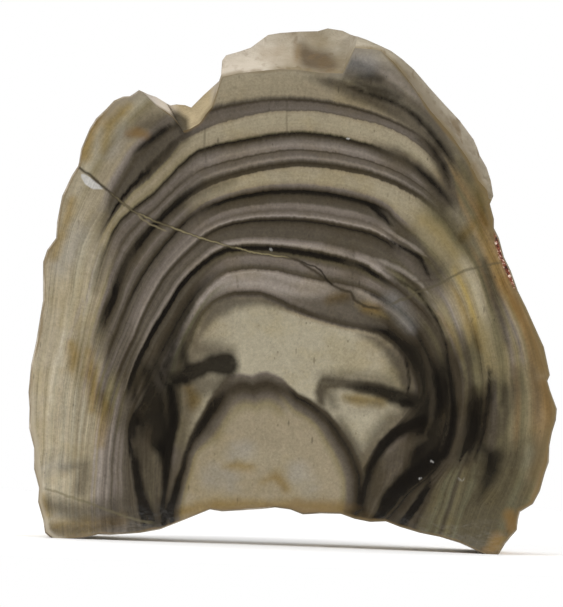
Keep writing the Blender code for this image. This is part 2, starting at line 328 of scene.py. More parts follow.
# %% The whole surface
def stone_surface():
    """All rings in order, with each point's scar depth and ripple distance; both stay empty on the face."""
    rough, scar, ripple = struck(weathered(rough_rings()))
    knob_fade = smooth_step(0.0, 0.0015, -scar) * smooth_step(0.0005, 0.003, rough[..., 2])
    unit = rough - HEART
    unit /= np.linalg.norm(unit, axis=-1)[..., None]
    for size, height, seed in KNOBS:
        rough = rough + unit * (knob_fade * height * (lattice_heights(rough, size, seed) - 0.3))[..., None]
    front = np.concatenate([face_rings(), break_rings()])
    rings = np.concatenate([front, rough])
    empty = np.full(front.shape[:2], -1.0)
    pole = rings[-1].mean(axis=0)
    points = np.vstack([[[MIDDLE_PLANE[0], 0, MIDDLE_PLANE[1]]], rings.reshape(-1, 3), pole])
    scars = np.concatenate([[-1], empty.ravel(), scar.ravel(), [scar[-1].mean()]])
    ripples = np.concatenate([[0], 0 * empty.ravel(), ripple.ravel(), [ripple[-1].mean()]])
    points[:, 2] = np.maximum(points[:, 2], 0)
    points[:, 1] *= STONE_DEPTH / points[:, 1].max()
    return points, scars, ripples


PLANE_POINTS, SCAR_DEPTH, RIPPLE = stone_surface()
SHIFT = 0.5 * (LOW + HIGH)[:2] - 0.5 * (PLANE_POINTS.min(axis=0) + PLANE_POINTS.max(axis=0))[:2]
POINTS = PLANE_POINTS + [SHIFT[0], SHIFT[1], 0]
PIXEL = pixels(PLANE_POINTS[:, 0], PLANE_POINTS[:, 2])
print("points:", len(POINTS), "size in mm:", np.round(np.ptp(POINTS, axis=0) * 1000, 2))

# %% [markdown]
# ## The arches
# A flint's bands are old growth lines, so neighbours run side by side. One number that says which band a
# point lies in, its depth in the banding, lets a single list of colours paint a whole nest of lines. It
# could be a distance from some centre, but real bands crowd and spread, so a few key arches are traced
# round one centre, as pairs of an angle in degrees and a reach in pixels. Between two arches the banding
# number is shared out evenly.
# %% Key arches
ARCH_CENTRE = (270, 520)
ARCHES = {
    500: [
        (-10, 245), (0, 262), (6, 272), (12, 286), (21, 308), (27, 316), (36, 328), (43, 338), (51, 363),
        (57, 405), (60, 421), (67, 452), (74, 482), (83, 498), (95, 494), (105, 470), (116, 428),
        (123, 390), (130, 353), (136, 320), (143, 297), (147, 288), (155, 268), (163, 250), (176, 236),
        (190, 222)],
    440: [
        (-10, 238), (0, 253), (5, 262), (10, 273), (15, 287), (20, 300), (25, 308), (30, 314), (35, 322),
        (40, 330), (45, 341), (50, 356), (55, 373), (60, 391), (62.5, 400), (64.5, 407), (66, 413),
        (68, 421), (70, 428), (72, 431.5), (75, 436), (80, 441), (83, 447), (90, 450), (97, 446),
        (105, 425), (112, 400), (118, 370), (124, 345), (131, 308), (137.6, 282), (141.4, 272.5),
        (146.4, 262), (151.5, 251.5), (156.9, 242.5), (162.6, 235), (180, 225), (190, 217)],
    420: [
        (-10, 232), (0, 247), (5, 255), (10, 267), (15, 280), (20, 292), (25, 301), (30, 309), (35, 318),
        (40, 327), (45, 337), (50, 351), (55, 365), (60, 382), (62.7, 393), (65, 404), (67.3, 410),
        (70, 414.6), (75, 419), (80, 421.6), (85, 422), (90, 420.4), (95, 417.5), (98, 415), (105, 403.5),
        (110.3, 390), (113, 374.5), (116.3, 359), (117.7, 349), (120, 342), (124.2, 328), (130.8, 297),
        (135.7, 279), (140.3, 266), (145.4, 255), (150.6, 244.5), (156.2, 235), (162, 227), (180, 217),
        (190, 213)],
    409.3: [
        (-10, 225), (0, 240), (5, 248), (10, 260), (15, 273), (20, 284), (25, 294), (30, 303), (35, 313),
        (40, 322), (45, 332), (50, 345), (55, 359), (60, 378), (62.7, 389), (65, 394.8), (67.3, 400.6),
        (70, 406), (72, 408.3), (75, 410.7), (77, 410.2), (80, 411.2), (83, 411.7), (85, 410.7),
        (87.5, 409.3), (90, 408.3), (92.5, 405.4), (95, 402.5), (97.5, 399.6), (100, 395), (103.3, 388),
        (105.6, 376.4), (109.3, 363.8), (113, 356), (116.3, 345.5), (120, 333), (124, 317), (129.6, 292),
        (133.7, 276.5), (138.2, 262.5), (144.2, 247.5), (149.7, 237), (155.3, 227.5), (161.4, 219.5),
        (180, 209.5), (190, 208)],
    387.5: [
        (-10, 215), (0, 228), (5, 238), (10, 250), (15, 262), (20, 272), (25, 283), (30, 294), (35, 305),
        (40, 313), (45, 322), (50, 336), (55, 350), (60, 367.7), (62.7, 371.6), (65, 375.9),
        (67.3, 380.3), (70, 383.6), (75, 387.5), (80, 388.5), (85, 387.5), (87.5, 386.1), (90, 384.1),
        (92.5, 381.7), (95, 379.8), (97.7, 378.3), (100, 376.4), (101.2, 375.4), (102.8, 369.6),
        (104.2, 364.8), (107, 354.2), (110, 345), (112.6, 341), (116.3, 334.8), (118.5, 328.6),
        (122.5, 311), (124.6, 301), (128.2, 286), (131.6, 274), (136.1, 259.5), (143.1, 241.5),
        (148.7, 230.5), (154.5, 220.5), (160.7, 212), (168.7, 205), (180, 202), (190, 201)],
    355.1: [
        (-10, 190), (0, 200), (4, 205), (5.9, 213), (10.7, 230), (15.3, 243), (20, 248), (25, 258),
        (30, 268), (33, 277), (36, 285), (40, 295), (45, 306), (50, 322), (55, 334), (60, 345.5),
        (62.7, 350.3), (65, 355), (70, 357.6), (75, 358), (80, 356.6), (85, 355.1), (90, 350.3),
        (95, 345), (100, 339.7), (102.8, 334.8), (109, 319), (115, 302), (118.5, 292), (122, 279),
        (125, 267), (131.3, 253), (135.5, 242.5), (141, 230.5), (146.9, 219.5), (153.2, 210.5),
        (159.8, 202.5), (168.2, 196), (180, 193), (190, 192)],
    335.3: [
        (-10, 178), (0, 186), (8, 196), (13, 203), (17.5, 214), (22, 228), (25, 234), (30, 246),
        (33, 254), (36, 261), (40, 271), (45, 284), (50, 297), (55, 309.2), (57.5, 315), (60, 318.9),
        (62.5, 321.8), (65.5, 324.2), (67.5, 328.6), (69, 333.4), (71, 335.8), (75, 336.8), (80, 336.3),
        (85, 335.3), (90, 333.4), (95, 329.5), (100, 324.7), (102.5, 320.8), (105, 313), (109, 300.5),
        (115, 283), (121.5, 264.8), (125, 254), (128.7, 243.5), (134.5, 231), (139.4, 222.5),
        (145.6, 212), (152, 202.5), (159, 195), (167.7, 188.5), (180, 185), (190, 184)],
    302: [
        (-10, 145), (0, 155), (6, 163), (10, 169), (12.5, 174), (15, 182), (17, 190), (20, 200),
        (25, 214), (30, 229), (33, 237), (36, 245), (40, 254), (45, 266), (50, 277), (55, 286), (60, 293),
        (64, 299), (67.5, 303.9), (70, 305.2), (72.5, 304.9), (77.5, 303.4), (82.5, 302.5), (87.5, 302),
        (92.5, 301), (97, 299.6), (100, 297.2), (102.5, 293.3), (105, 287), (110, 275), (115, 262),
        (119.2, 249.5), (126.3, 229.6), (131.5, 220), (136, 212.5), (142, 203), (147.5, 195.5),
        (154.7, 187), (163.7, 178), (180, 172), (190, 171)],
    272.5: [
        (-10, 108), (0, 118), (6, 131), (10, 140), (12.5, 150), (15, 165), (17, 175), (20, 187),
        (25, 200), (30, 213), (35, 226), (40, 236), (45, 247), (50, 255), (55, 260), (60, 264), (65, 268),
        (70, 273), (75, 272.5), (80, 272.5), (85, 273), (90, 274.4), (95, 275.9), (99, 276.5),
        (102, 272.5), (104, 268), (106.5, 262.5), (109, 256.5), (111.5, 250), (114.5, 240.5),
        (118.5, 231), (122, 224), (125, 217), (130, 208), (133.7, 201), (137.5, 194), (141.7, 188),
        (145, 182.5), (150, 177), (156, 171), (166, 162.5), (180, 158), (190, 157)],
    245.4: [
        (-10, 98), (0, 106), (6, 117), (10, 125), (12.5, 135), (15, 150), (17, 162), (20, 175), (25, 187),
        (30, 199), (35, 210), (40, 220), (45, 229), (50, 237), (55, 243), (60, 247), (65, 248.3),
        (70, 247.4), (77.5, 243.5), (82, 244), (85, 245.4), (87.5, 247.4), (90, 248.8), (94, 250.7),
        (97, 250.7), (100, 249.8), (103, 243), (107.8, 229), (111.5, 218.4), (115, 209.7), (117.5, 201.8),
        (121.5, 193.5), (126, 184), (130, 178), (135, 173.5), (140, 171), (145, 167), (150, 159),
        (155, 152), (160, 147), (165, 141), (170, 136.5), (180, 129), (190, 126)],
    215: [
        (-10, 90), (0, 92), (15, 98), (24.7, 104), (29.3, 109), (31.7, 119), (34, 129), (36, 141),
        (37, 165), (38.5, 185), (40, 197), (42, 203), (45, 208), (50, 214), (55, 217), (60, 218),
        (62.5, 216), (65, 214), (67.5, 211.6), (70, 210.2), (72.5, 209.2), (75, 209.2), (77.5, 209.7),
        (80, 210.6), (82.5, 212.6), (85, 215.5), (87.5, 219.3), (90, 223.2), (92.5, 226.6), (97, 228),
        (99.5, 229), (102.5, 227.5), (105, 225), (108, 218), (111, 208), (114, 197), (118, 186),
        (121, 176), (124, 162), (127.4, 147), (133, 136), (139, 130), (146, 122), (150, 117),
        (155, 112.4), (160, 109), (170, 106), (180, 105), (190, 105)],
}


def around_and_reach(pixel, centre):
    """Angle in degrees from -90 to 270, and distance in pixels, of each point seen from a centre."""
    right, up = pixel[:, 0] - centre[0], centre[1] - pixel[:, 1]
    angle = np.degrees(np.arctan2(up, right))
    return np.where(angle < -90, angle + 360, angle), np.hypot(right, up)


def banding(angle, reach):
    """The banding number: straight between neighbouring arches, and in step with reach outside the last."""
    numbers = sorted(ARCHES)
    lines = [np.interp(angle, *np.array(ARCHES[number]).T) for number in numbers]
    value = numbers[0] * reach / lines[0]
    for low, high, inner, outer in zip(numbers, numbers[1:], lines, lines[1:]):
        share = (reach - inner) / (outer - inner)
        value = np.where(share > 0, low + (high - low) * share, value)
    return np.minimum(value, 560)


AROUND, OUT = around_and_reach(PIXEL, ARCH_CENTRE)
BAND = banding(AROUND, OUT)
print("banding from", round(float(BAND.min())), "to", round(float(BAND.max())))

# %% [markdown]
# ## The inner dome
# Low in the face stands a second, smaller dome whose rim is sharp outside and soft inside. A brush stroke
# would be soft on both sides, so its rim is one more traced arch, and the number kept is the depth inside
# it in pixels.
# %% Depth inside the inner dome
INNER_DOME = [
    (-10, 88), (0, 90), (4, 91.5), (17, 99), (28, 105.5), (36, 108.5), (46, 113), (57, 119.5),
    (68.6, 125.5), (77.6, 130), (82, 136.5), (85, 142), (88, 145.5), (91, 148), (94, 147.5), (97.2, 145),
    (99.5, 148), (102, 150), (107, 147.5), (110, 143.5), (115, 137.5), (120, 130.5), (125, 124),
    (130, 119.5), (135, 116), (140, 111.5), (145, 108), (150, 105), (160, 103), (170, 102.5), (180, 102),
    (190, 102)]
DOME_DEPTH = np.interp(AROUND, *np.array(INNER_DOME).T) - OUT
print("deepest point of the inner dome:", round(float(DOME_DEPTH.max())), "px")

# %% [markdown]
# ## Brush strokes
# Some dark and pale shapes follow no arch: the two brows over the dome, the lenses beside it, stains of
# rust. They could be masks painted by hand. Here each is a stroke: a line of points with a half width at
# each, in pixels. A point's number is how deep it lies inside the nearest stroke, so an edge stays crisp
# between mesh points.
# %% Brows, soft shade and olive
BROW = [
    [(181, 376, 6), (186, 376, 10), (191, 373, 10.5), (198, 370, 9.5)],
    [(198, 370, 9.5), (205, 366.5, 9), (213, 364, 10.5), (221, 364, 12.5), (227, 364, 12.5)],
    [(228, 361, 10), (229, 367, 10)],
    [(346, 385, 0), (358, 387, 4), (370, 388.5, 6), (382, 391.5, 7), (394, 396, 8.5), (405, 400, 9.5),
     (413, 400, 9)],
]
BROW_PALE = [
    [(321, 402, 4), (320, 392, 6), (325, 384, 7), (340, 383, 6.5), (358, 386, 7), (375, 389, 7),
     (390, 394, 7)],
    [(231, 375, 3), (224, 382, 4), (216, 392, 3)],
]
SHADE = [
    [(148, 372, 8), (150, 395, 10), (154, 415, 10), (160, 435, 6)],
    [(416, 350, 5), (422, 370, 6), (424, 398, 6), (420, 414, 8)],
    [(436, 452, 6), (418, 470, 9), (400, 485, 9), (388, 500, 8)],
    [(360, 77, 3), (370, 77, 5), (380, 80, 3)],
    [(355, 82, 1), (370, 88, 3), (385, 92, 3.5), (398, 97, 2)],
    # this stroke also darkens the notch on the broken edge: partly its dark flint, partly painted shade
    [(176, 116, 4), (181, 122, 6), (184, 130, 4)],
    [(484, 449, 4), (494, 457, 10), (492, 469, 9), (488, 480, 7), (483, 491, 4), (477, 504, 0)],
    [(505, 385, 1), (504, 394, 3), (502, 404, 2)],
    [(474, 388, 4), (475, 402, 8), (474, 425, 8), (470, 446, 5)],
    [(493, 374, 1), (494, 385, 4), (491, 398, 4), (488, 410, 2)],
    [(160, 378, 4), (160, 394, 6)],
    [(156, 362, 4), (160, 373, 8), (164, 384, 8)],
    [(164, 366, 6), (169, 376, 8), (176, 381, 8)],
    [(182, 342, 3), (184, 356, 7), (187, 366, 8)],
    [(170, 388, 6), (171, 408, 6), (171, 425, 3)],
    [(136, 378, 3), (135, 398, 4)],
    [(192, 306, 3), (181, 326, 6), (173, 346, 8), (166, 366, 9)],
]
OLIVE = [
    [(165, 392, 4), (170, 410, 6), (171, 428, 3)],
    [(484, 262, 5), (491, 288, 6), (500, 316, 6), (506, 342, 4)],
    [(314, 77, 1), (328, 80, 5), (343, 84, 6), (358, 89, 5)],
    [(420, 140, 4), (434, 154, 7), (444, 172, 6), (448, 188, 3)],
]
print("strokes so far:", len(BROW + BROW_PALE + SHADE + OLIVE))

# %% Dark strokes, and the paler cores and threads among them
DARK = [
    [(184, 466, 0), (178, 482, 4), (173, 500, 5), (166, 518, 5)],
    [(136, 450, 2), (139, 475, 4), (142, 492, 4), (147, 508, 5), (153, 522, 5)],
    [(424, 421, 7), (407, 427, 6.5), (393, 435, 6), (383, 445, 6), (375, 459, 5.5), (369, 476, 5),
     (364, 492, 4.5), (361, 508, 5)],
    [(444, 380, 2), (450, 398, 5), (452, 415, 6), (449, 434, 7), (441, 452, 8), (424, 467, 9),
     (407, 480, 9), (393, 494, 8), (385, 506, 6)],
    [(476, 394, 0), (476, 405, 3), (475, 418, 5), (474, 432, 4.5), (471, 448, 3), (466, 466, 1)],
    [(430, 480, 2), (420, 498, 3.5), (410, 515, 4)],
    [(418, 257, 1.5), (424, 266, 2), (428, 274, 1.5)],
    [(400, 401, 2), (411, 403, 4)],
    [(174, 382, 2), (186, 378, 3)],
    [(170, 386, 4), (173, 404, 5), (173.5, 425, 6), (170, 445, 5.5), (168, 462, 4.5), (166, 480, 3.5),
     (163, 500, 2), (161, 512, 2)],
    [(490, 455, 2), (490, 470, 2)],
    [(170, 126, 2), (160, 133, 3.5), (153, 138.5, 4), (146, 144, 3), (139, 149, 2), (131, 156, 0)],
    [(345, 86, 0), (356, 89, 1.5), (367, 93, 2.8), (385, 99, 3), (395, 103, 2.5), (405, 108.5, 2.2),
     (415, 116, 3), (425, 126, 3), (435, 137.5, 3.5), (443, 149, 3.5), (450, 161, 2.5), (457, 174, 0)],
    [(425, 140, 0), (434, 151, 2), (443, 165, 3), (448, 178, 2), (450, 188, 0)],
    [(404, 158, 0), (416, 167, 2), (428, 178, 3.2), (438, 188, 3.2), (447, 199, 2), (456, 212, 0)],
]
PALE = [
    [(138, 428, 1), (141, 441, 4), (147, 453, 6), (151, 468, 6.5), (153, 482, 6), (155, 495, 5),
     (156, 505, 2)],
    [(497, 408, 2), (497, 420, 5), (495, 434, 6), (492, 444, 3)],
    [(424, 438, 2), (410, 444, 5), (397, 452, 7), (387, 463, 7.5), (380, 476, 7), (374, 490, 6),
     (370, 503, 4)],
]
THREAD = [
    [(422, 350, 1), (430, 372, 3), (433, 400, 4), (431, 420, 3.5), (425, 434, 1)],
    [(448, 376, 0), (449, 400, 2), (447, 430, 2), (440, 450, 1)],
    [(461, 368, 1), (465, 388, 2.5), (465, 410, 2.5), (463, 432, 2), (459, 452, 1)],
    [(455, 455, 1), (445, 475, 2), (432, 495, 2), (424, 515, 2)],
    [(470, 455, 1), (462, 478, 2), (450, 505, 2), (442, 525, 2)],
    [(184, 434, 2), (181, 450, 4), (174, 474, 3), (168, 500, 2)],
]
print("dark, pale and thin strokes:", len(DARK), len(PALE), len(THREAD))

# %% Places that are a little darker or lighter than their bands
DIM = [
    [(50, 505, 8), (80, 514, 11), (110, 512, 13), (130, 500, 8)],
    [(52, 532, 8), (80, 530, 8), (110, 526, 6)],
    [(62, 468, 2), (85, 465, 4), (80, 490, 6)],
    [(182, 425, 2), (177, 450, 4), (173, 480, 4), (170, 508, 4)],
    [(395, 235, 2), (410, 255, 8), (424, 275, 8), (432, 300, 4)],
    [(190, 338, 4), (198, 350, 9), (216, 350, 8), (232, 350, 3)],
    [(188, 394, 11), (204, 387, 11), (222, 382, 8)],
    [(190, 402, 11), (184, 425, 8), (180, 450, 5)],
    [(412, 410, 6), (390, 421, 8), (376, 436, 8), (365, 458, 8), (352, 440, 4), (340, 420, 4)],
    [(330, 396, 7), (334, 406, 4)],
    [(346, 398, 2), (362, 401, 3), (380, 404, 3)],
    [(400, 158, 1), (418, 172, 5), (434, 192, 7), (444, 206, 5)],
    [(325, 280, 1), (343, 290, 6), (358, 301, 6)],
    [(350, 255, 1), (353, 272, 4)],
    [(352, 62, 1), (368, 66, 2), (392, 70, 2), (403, 82, 0)],
    [(350, 410, -2), (368, 412, -3)],
    [(335, 298, 0), (356, 308, 1), (374, 318, 0)],
    [(345, 350, -6), (372, 352, -6)],
    [(530, 335, 2), (537, 365, 5), (540, 395, 5), (538, 420, 1)],
    [(142, 505, 4), (152, 518, 6)],
    [(515, 372, 3), (514, 390, 8), (508, 408, 6), (504, 425, 3)],
    [(165, 118, 6), (153, 124, 10), (142, 126, 6), (128, 136, 0)],
    [(388, 352, 0), (400, 368, 4), (406, 384, 5)],
    [(478, 448, 3), (480, 462, 6), (476, 475, 3)],
    [(444, 464, 4), (458, 462, 8), (472, 460, 8)],
    [(303, 48, 7), (310, 58, 12), (322, 61, 12), (331, 66, 6)],
    [(415, 90, 3), (430, 110, 6), (442, 130, 7), (455, 150, 5)],
    [(388, 478, 4), (394, 466, 4), (402, 458, 3)],
    [(462, 418, 2), (462, 436, 5), (458, 450, 4)],
    [(500, 530, 8)],
    [(435, 272, 2), (445, 262, 3)],
    [(455, 140, 2), (464, 160, 4), (472, 176, 3)],
    [(458, 332, 1), (465, 344, 3), (470, 358, 3)],
    [(140, 505, 6), (148, 512, 8), (156, 516, 4)],
    [(396, 66, 3), (408, 80, 5), (420, 95, 3)],
    [(463, 374, 2), (468, 392, 6)],
    [(372, 151, 1), (390, 160, 4), (408, 174, 5), (420, 188, 3)],
    [(200, 194, 2), (215, 187, 4), (232, 182, 2)],
    [(104, 250, 2), (98, 275, 4), (95, 290, 1)],
    [(132, 252, 2), (125, 276, 3)],
    [(150, 166, 2), (170, 150, 5), (185, 139, 3)],
    [(350, 262, 3), (358, 275, 4)],
    [(322, 377, 2), (345, 374, 2), (370, 377, 3), (392, 383, 2)],
    [(322, 404, 4), (327, 413, 3)],
    [(352, 97, 2), (368, 101, 5), (384, 107, 4), (398, 113, 3)],
    [(470, 446, 2), (482, 452, 5), (478, 464, 3)],
    [(162, 362, 4), (166, 374, 5)],
    [(176, 486, 3), (174, 502, 3)],
]
LIFT = [
    [(455, 212, 4), (466, 224, 8), (478, 236, 7), (486, 252, 6), (496, 270, 5)],
    [(418, 222, 2), (434, 240, 5), (446, 260, 4)],
    [(430, 296, 1), (440, 315, 2.5), (448, 332, 2)],
    [(530, 450, 0), (526, 475, 0)],
    [(532, 320, 2), (541, 350, 4), (545, 375, 3)],
    [(153, 458, 0), (153, 475, 3), (156, 492, 1)],
    [(90, 310, 3), (98, 340, 4), (94, 362, 2)],
    [(118, 105, 5), (98, 122, 9), (88, 150, 8)],
    [(100, 190, 4), (97, 215, 5), (90, 240, 3)],
    [(72, 180, 7), (66, 205, 7), (60, 235, 7)],
    [(220, 92, 6), (250, 88, 7), (290, 86, 5)],
    [(222, 460, 6), (250, 456, 8), (285, 460, 8)],
    [(295, 470, 8), (306, 488, 8)],
]
print("darker and lighter places:", len(DIM), len(LIFT))

# %% Stains, crust, bluish clouds and glints
OCHRE = [
    [(72, 345, 4), (74, 356, 5), (72, 368, 3)],
    [(90, 352, 3), (91, 375, 5), (94, 397, 5), (92, 410, 2)],
    [(103, 396, 3), (105, 410, 6), (104, 426, 4), (101, 445, 2)],
    [(96, 114, 6), (87, 135, 7), (84, 155, 6)],
    [(128, 106, 3), (110, 125, 6), (104, 150, 4)],
    [(72, 200, 3), (66, 222, 4), (54, 256, 3)],
    [(462, 238, 4), (476, 222, 5)],
    [(478, 222, 4), (487, 245, 5), (498, 272, 5), (510, 298, 5), (521, 318, 4)],
    [(474, 165, 3), (482, 195, 5), (486, 222, 6)],
    [(448, 283, 1), (458, 297, 2.2), (467, 315, 2.5), (474, 333, 2), (480, 350, 1)],
    [(438, 312, 0.5), (447, 326, 1.5), (455, 342, 1.5), (461, 358, 0.5)],
    [(188, 388, 4), (193, 398, 6), (192, 406, 3)],
    [(346, 398, 3), (362, 400, 5), (380, 401, 4)],
    [(224, 467, 0), (238, 465, 3.5), (252, 467, 2)],
    [(262, 482, 0), (276, 477, 4), (286, 488, 3)],
    [(54, 528, 6), (75, 530, 9), (98, 526, 8), (122, 520, 6)],
    [(42, 496, 2), (46, 515, 3)],
    [(180, 512, 4), (205, 506, 5), (250, 504, 4), (290, 505, 4), (340, 509, 6), (370, 516, 4)],
    [(545, 385, 5), (551, 412, 5), (549, 426, 2)],
    [(524, 322, 5), (536, 345, 6), (543, 368, 5)],
    [(366, 309, 3), (376, 308, 3.5)],
    [(330, 300, 2), (344, 296, 3)],
    [(297, 46, 4), (297, 60, 4)],
]
RUST = [
    [(128, 134, 3), (136, 133, 4.5), (146, 135, 3)],
    [(512, 300, 3), (517, 308, 4), (521, 316, 2)],
    [(498, 538, 7), (493, 548, 6), (486, 551, 3)],
    [(510, 514, 5), (512, 527, 6)],
]
CRUST = [[(494, 229, 0), (498, 240, 3), (503, 255, 4), (509, 269, 4.5), (515, 284, 3), (520, 296, 0)]]
BLUISH = [
    [(75, 232, 10), (68, 248, 11), (62, 266, 8)],
    [(234, 454, 9), (246, 450, 7)],
    [(214, 476, 12), (228, 482, 9)],
    [(298, 474, 10), (308, 488, 9)],
    [(345, 58, 8), (366, 62, 10)],
    [(392, 300, 5), (404, 316, 6), (410, 326, 3)],
    [(45, 470, 6), (60, 460, 8)],
    [(120, 130, 8), (108, 148, 9)],
]
GLINT = [
    [(83, 176, 2.5), (88, 181, 4.5), (94, 185.5, 4), (104, 188.5, 1)],
    [(347, 138, 1.2), (349, 139, 1.2)],
    [(431, 461, 1.3), (433, 462, 1.1)],
    [(419, 479, 1.1), (421, 478, 1.1)],
    [(270.5, 249, 1.4), (271.5, 250, 1.4)],
    [(472, 166, 2.0), (474, 168, 2.0)],
    [(457, 477, 0.7), (461, 481, 1.1), (465, 478, 0.9)],
]
print("stains:", len(OCHRE), len(RUST), "clouds and glints:", len(BLUISH), len(GLINT))


# %% Depth inside the strokes
OUTSIDE = -12.0


def stroke_depth(strokes):
    """Largest of (half width - distance to the stroke's line), in pixels, the half width shared out."""
    depth = np.full(len(PIXEL), OUTSIDE)
    for stroke in strokes:
        line = np.array(stroke, float)
        for start, end in zip(line, line[1:]):
            side = end[:2] - start[:2]
            part = np.clip(((PIXEL - start[:2]) @ side) / (side @ side), 0, 1)
            nearest = start[:2] + part[:, None] * side
            width = start[2] + part * (end[2] - start[2])
            depth = np.maximum(depth, width - np.linalg.norm(PIXEL - nearest, axis=1))
    return depth


STROKES = {
    "shade": SHADE, "olive": OLIVE, "dark": DARK, "pale": PALE, "ochre": OCHRE, "rust": RUST, "crust": CRUST,
    "bluish": BLUISH, "glint": GLINT, "thread": THREAD, "dim": DIM, "lift": LIFT, "brow": BROW,
    "brow_pale": BROW_PALE}
FIELDS = {name: stroke_depth(strokes) for name, strokes in STROKES.items()}
print({name: int((field > 0).sum()) for name, field in FIELDS.items()})

# %% Lenses that lie along the bands
INK = [
    [(37, 340, -3), (34, 342, 2), (30, 341, 2.5), (26, 338, 2.5), (21, 336, 2.5), (17, 337, 1.5),
     (14, 340, -3)],
    [(33, 316, -3), (30, 321, 4), (27.5, 322, 8), (25, 321, 10), (22, 318, 9), (19, 314, 5),
     (15, 313, -3)],
    [(14, 292, -3), (11, 290.5, 3.5), (6, 288, 4.5), (0, 285, 4), (-4, 285, 2)],
    [(67, 277, -2), (62, 279, 1.3), (57, 283, 1.4), (50, 279, 1.8), (45, 275, 1.8), (40, 268, 2),
     (35, 264, 4), (30, 264, 5), (25, 268, 4), (20, 268, -3)],
    [(69, 303, -2), (66, 304, 2.2), (63, 309, 2.5), (60, 314, 2.2), (57.5, 307, 1.5), (55, 300, -3)],
    [(74, 331, -2), (72, 328.5, 3), (70, 324, 4), (68, 322, 2), (66, 323, -3)],
    [(72, 246, -2), (65, 245, 1.5), (58, 244, -2)],
    [(122, 362, -2), (124, 361, 4), (127, 358, 3), (130, 356, 1), (133, 354, -3)],
    [(52, 214, -2), (50, 212, 1.5), (45, 204, 2), (41, 192, 2), (38, 180, -2)],
    [(183, 242, 3.5), (173, 241, 3.5), (165, 242, 3.5), (159, 242.5, 3.5), (154.5, 247, 3.5),
     (150, 250, 3.5), (146, 251, 3), (142, 249, 2), (138, 247, -3)],
]
MIST = [
    [(71, 310, -2), (68, 313, 2), (64, 317, 3), (60, 320, 2), (57, 322, -3)],
    [(73, 275, -2), (70, 279, 1.5), (66, 284, 2.2), (61, 290, 2.5), (57, 292, 1.5), (50, 288, -2)],
    [(134, 398, -2), (131, 398, 3), (127, 400, 3), (122, 404, -3)],
    [(145, 415, -3), (139, 420, 2), (133, 412, 3), (128, 405, 1)],
    [(119, 240, -3), (115, 240, 3), (110, 242, 3), (106, 240, 2), (100, 237, 3), (94, 237, 3),
     (87, 238, -2)],
]
SMOKE = [
    [(86, 436, -3), (82, 436, 3), (78, 436, 6), (74, 434, 8), (70, 430, 9), (66, 422, 11), (62, 405, 13),
     (59, 385, 9), (57, 370, -3)],
    [(88, 222, -3), (84, 223, 2), (80, 224, 5), (76, 225, 8), (72, 226, 10), (67, 226, 10), (62, 224, 7),
     (58, 222, -3)],
    [(114, 205, -3), (108, 205, 5), (102, 206, 6.5), (96, 208, 4.5), (90, 209, 3), (85, 212, 0),
     (82, 214, -3)],
    [(66, 206, -3), (60, 206, 3), (54, 205, 5), (46, 202, 6), (40, 200, 4), (36, 198, -3)],
    [(88, 462, -8), (84, 462, 6), (79, 458, 14), (72, 448, 14), (66, 448, 16), (60, 440, -5)],
    [(75, 392, -2), (71, 391, 4), (66, 388, 7), (62, 384, 10), (59, 380, -3)],
    [(74, 320, -2), (70, 322, 6), (66, 326, 6), (62, 326, 4), (59, 326, -3)],
]
GOLD = [
    [(57, 344, -2), (50, 345, 2), (45, 343, 3), (38, 342, 1), (34, 342, -3)],
    [(52, 326, -2), (48, 324, 5), (45, 322, 6), (42, 320, 3), (40, 318, -3)],
    [(66, 345, -2), (63, 345, 2), (58, 346, 3), (54, 347, -2)],
    [(69, 233, -2), (66, 233, 3), (62, 232, 2), (59, 232, -3)],
    [(-4, 402, 12), (-8, 402, 14)],
]


def lens_depth(lenses):
    """Half thickness less the distance from the lens's middle, in banding numbers at each angle."""
    depth = np.full(len(PIXEL), OUTSIDE)
    for lens in lenses:
        angle, middle, half = np.array(sorted(lens), float).T
        half_here = np.interp(AROUND, angle, half, left=OUTSIDE, right=OUTSIDE)
        depth = np.maximum(depth, half_here - abs(BAND - np.interp(AROUND, angle, middle)))
    return depth


LENSES = {"ink": INK, "mist": MIST, "smoke": SMOKE, "gold": GOLD}
FIELDS.update({name: lens_depth(lenses) for name, lenses in LENSES.items()})
print({name: int((FIELDS[name] > 0).sum()) for name in LENSES})


# %% [markdown]
# ## The healed cracks
# Two old cracks cross the bands. Each is far thinner than the mesh, so a stroke would fall between its
# points. The number kept is the distance to the crack with a sign, above or below, which runs evenly
# through zero.
# %% Signed distance to each crack
CRACK_LONG = [
    (70, 163), (78, 166), (80, 168.5), (90, 175), (100, 184), (107, 190), (118, 199), (127, 206.5),
    (137, 213.5), (141, 214.5), (150, 219), (157, 222), (165, 225), (178, 230), (190, 234), (198, 237),
    (210, 241), (225, 245), (232, 247), (245, 250), (255, 253), (270, 255), (285, 257), (297, 260),
    (303, 264), (310, 268), (320, 275), (330, 283), (340, 289), (350, 292), (355, 300), (364, 306),
    (384, 310)]
CRACK_STRAND = [(137, 214), (141, 218), (150, 224), (158, 228), (168, 232)]
CRACK_TWIG = [(300, 261), (307, 264), (315, 266), (322, 272), (328, 281), (334, 286)]
CRACK_SHORT = [
    (505, 262), (492, 264), (480, 267), (466, 270), (455, 275), (447, 280), (440, 284), (430, 288),
    (418, 292), (408, 298), (400, 300), (385, 307)]
CRACK_LOW = [(41, 488), (55, 491), (70, 497), (92, 504), (112, 512), (140, 521), (160, 524)]
HAIRS = [
    [(205, 128), (204.5, 145), (206, 162)],
    [(287, 98), (287, 136)],
    [(353, 248), (354, 262), (352, 276), (353, 294)],
    [(400, 283), (420, 281), (441, 279)],
    [(237, 276), (238, 290)],
    [(222, 60), (223, 72)],
]


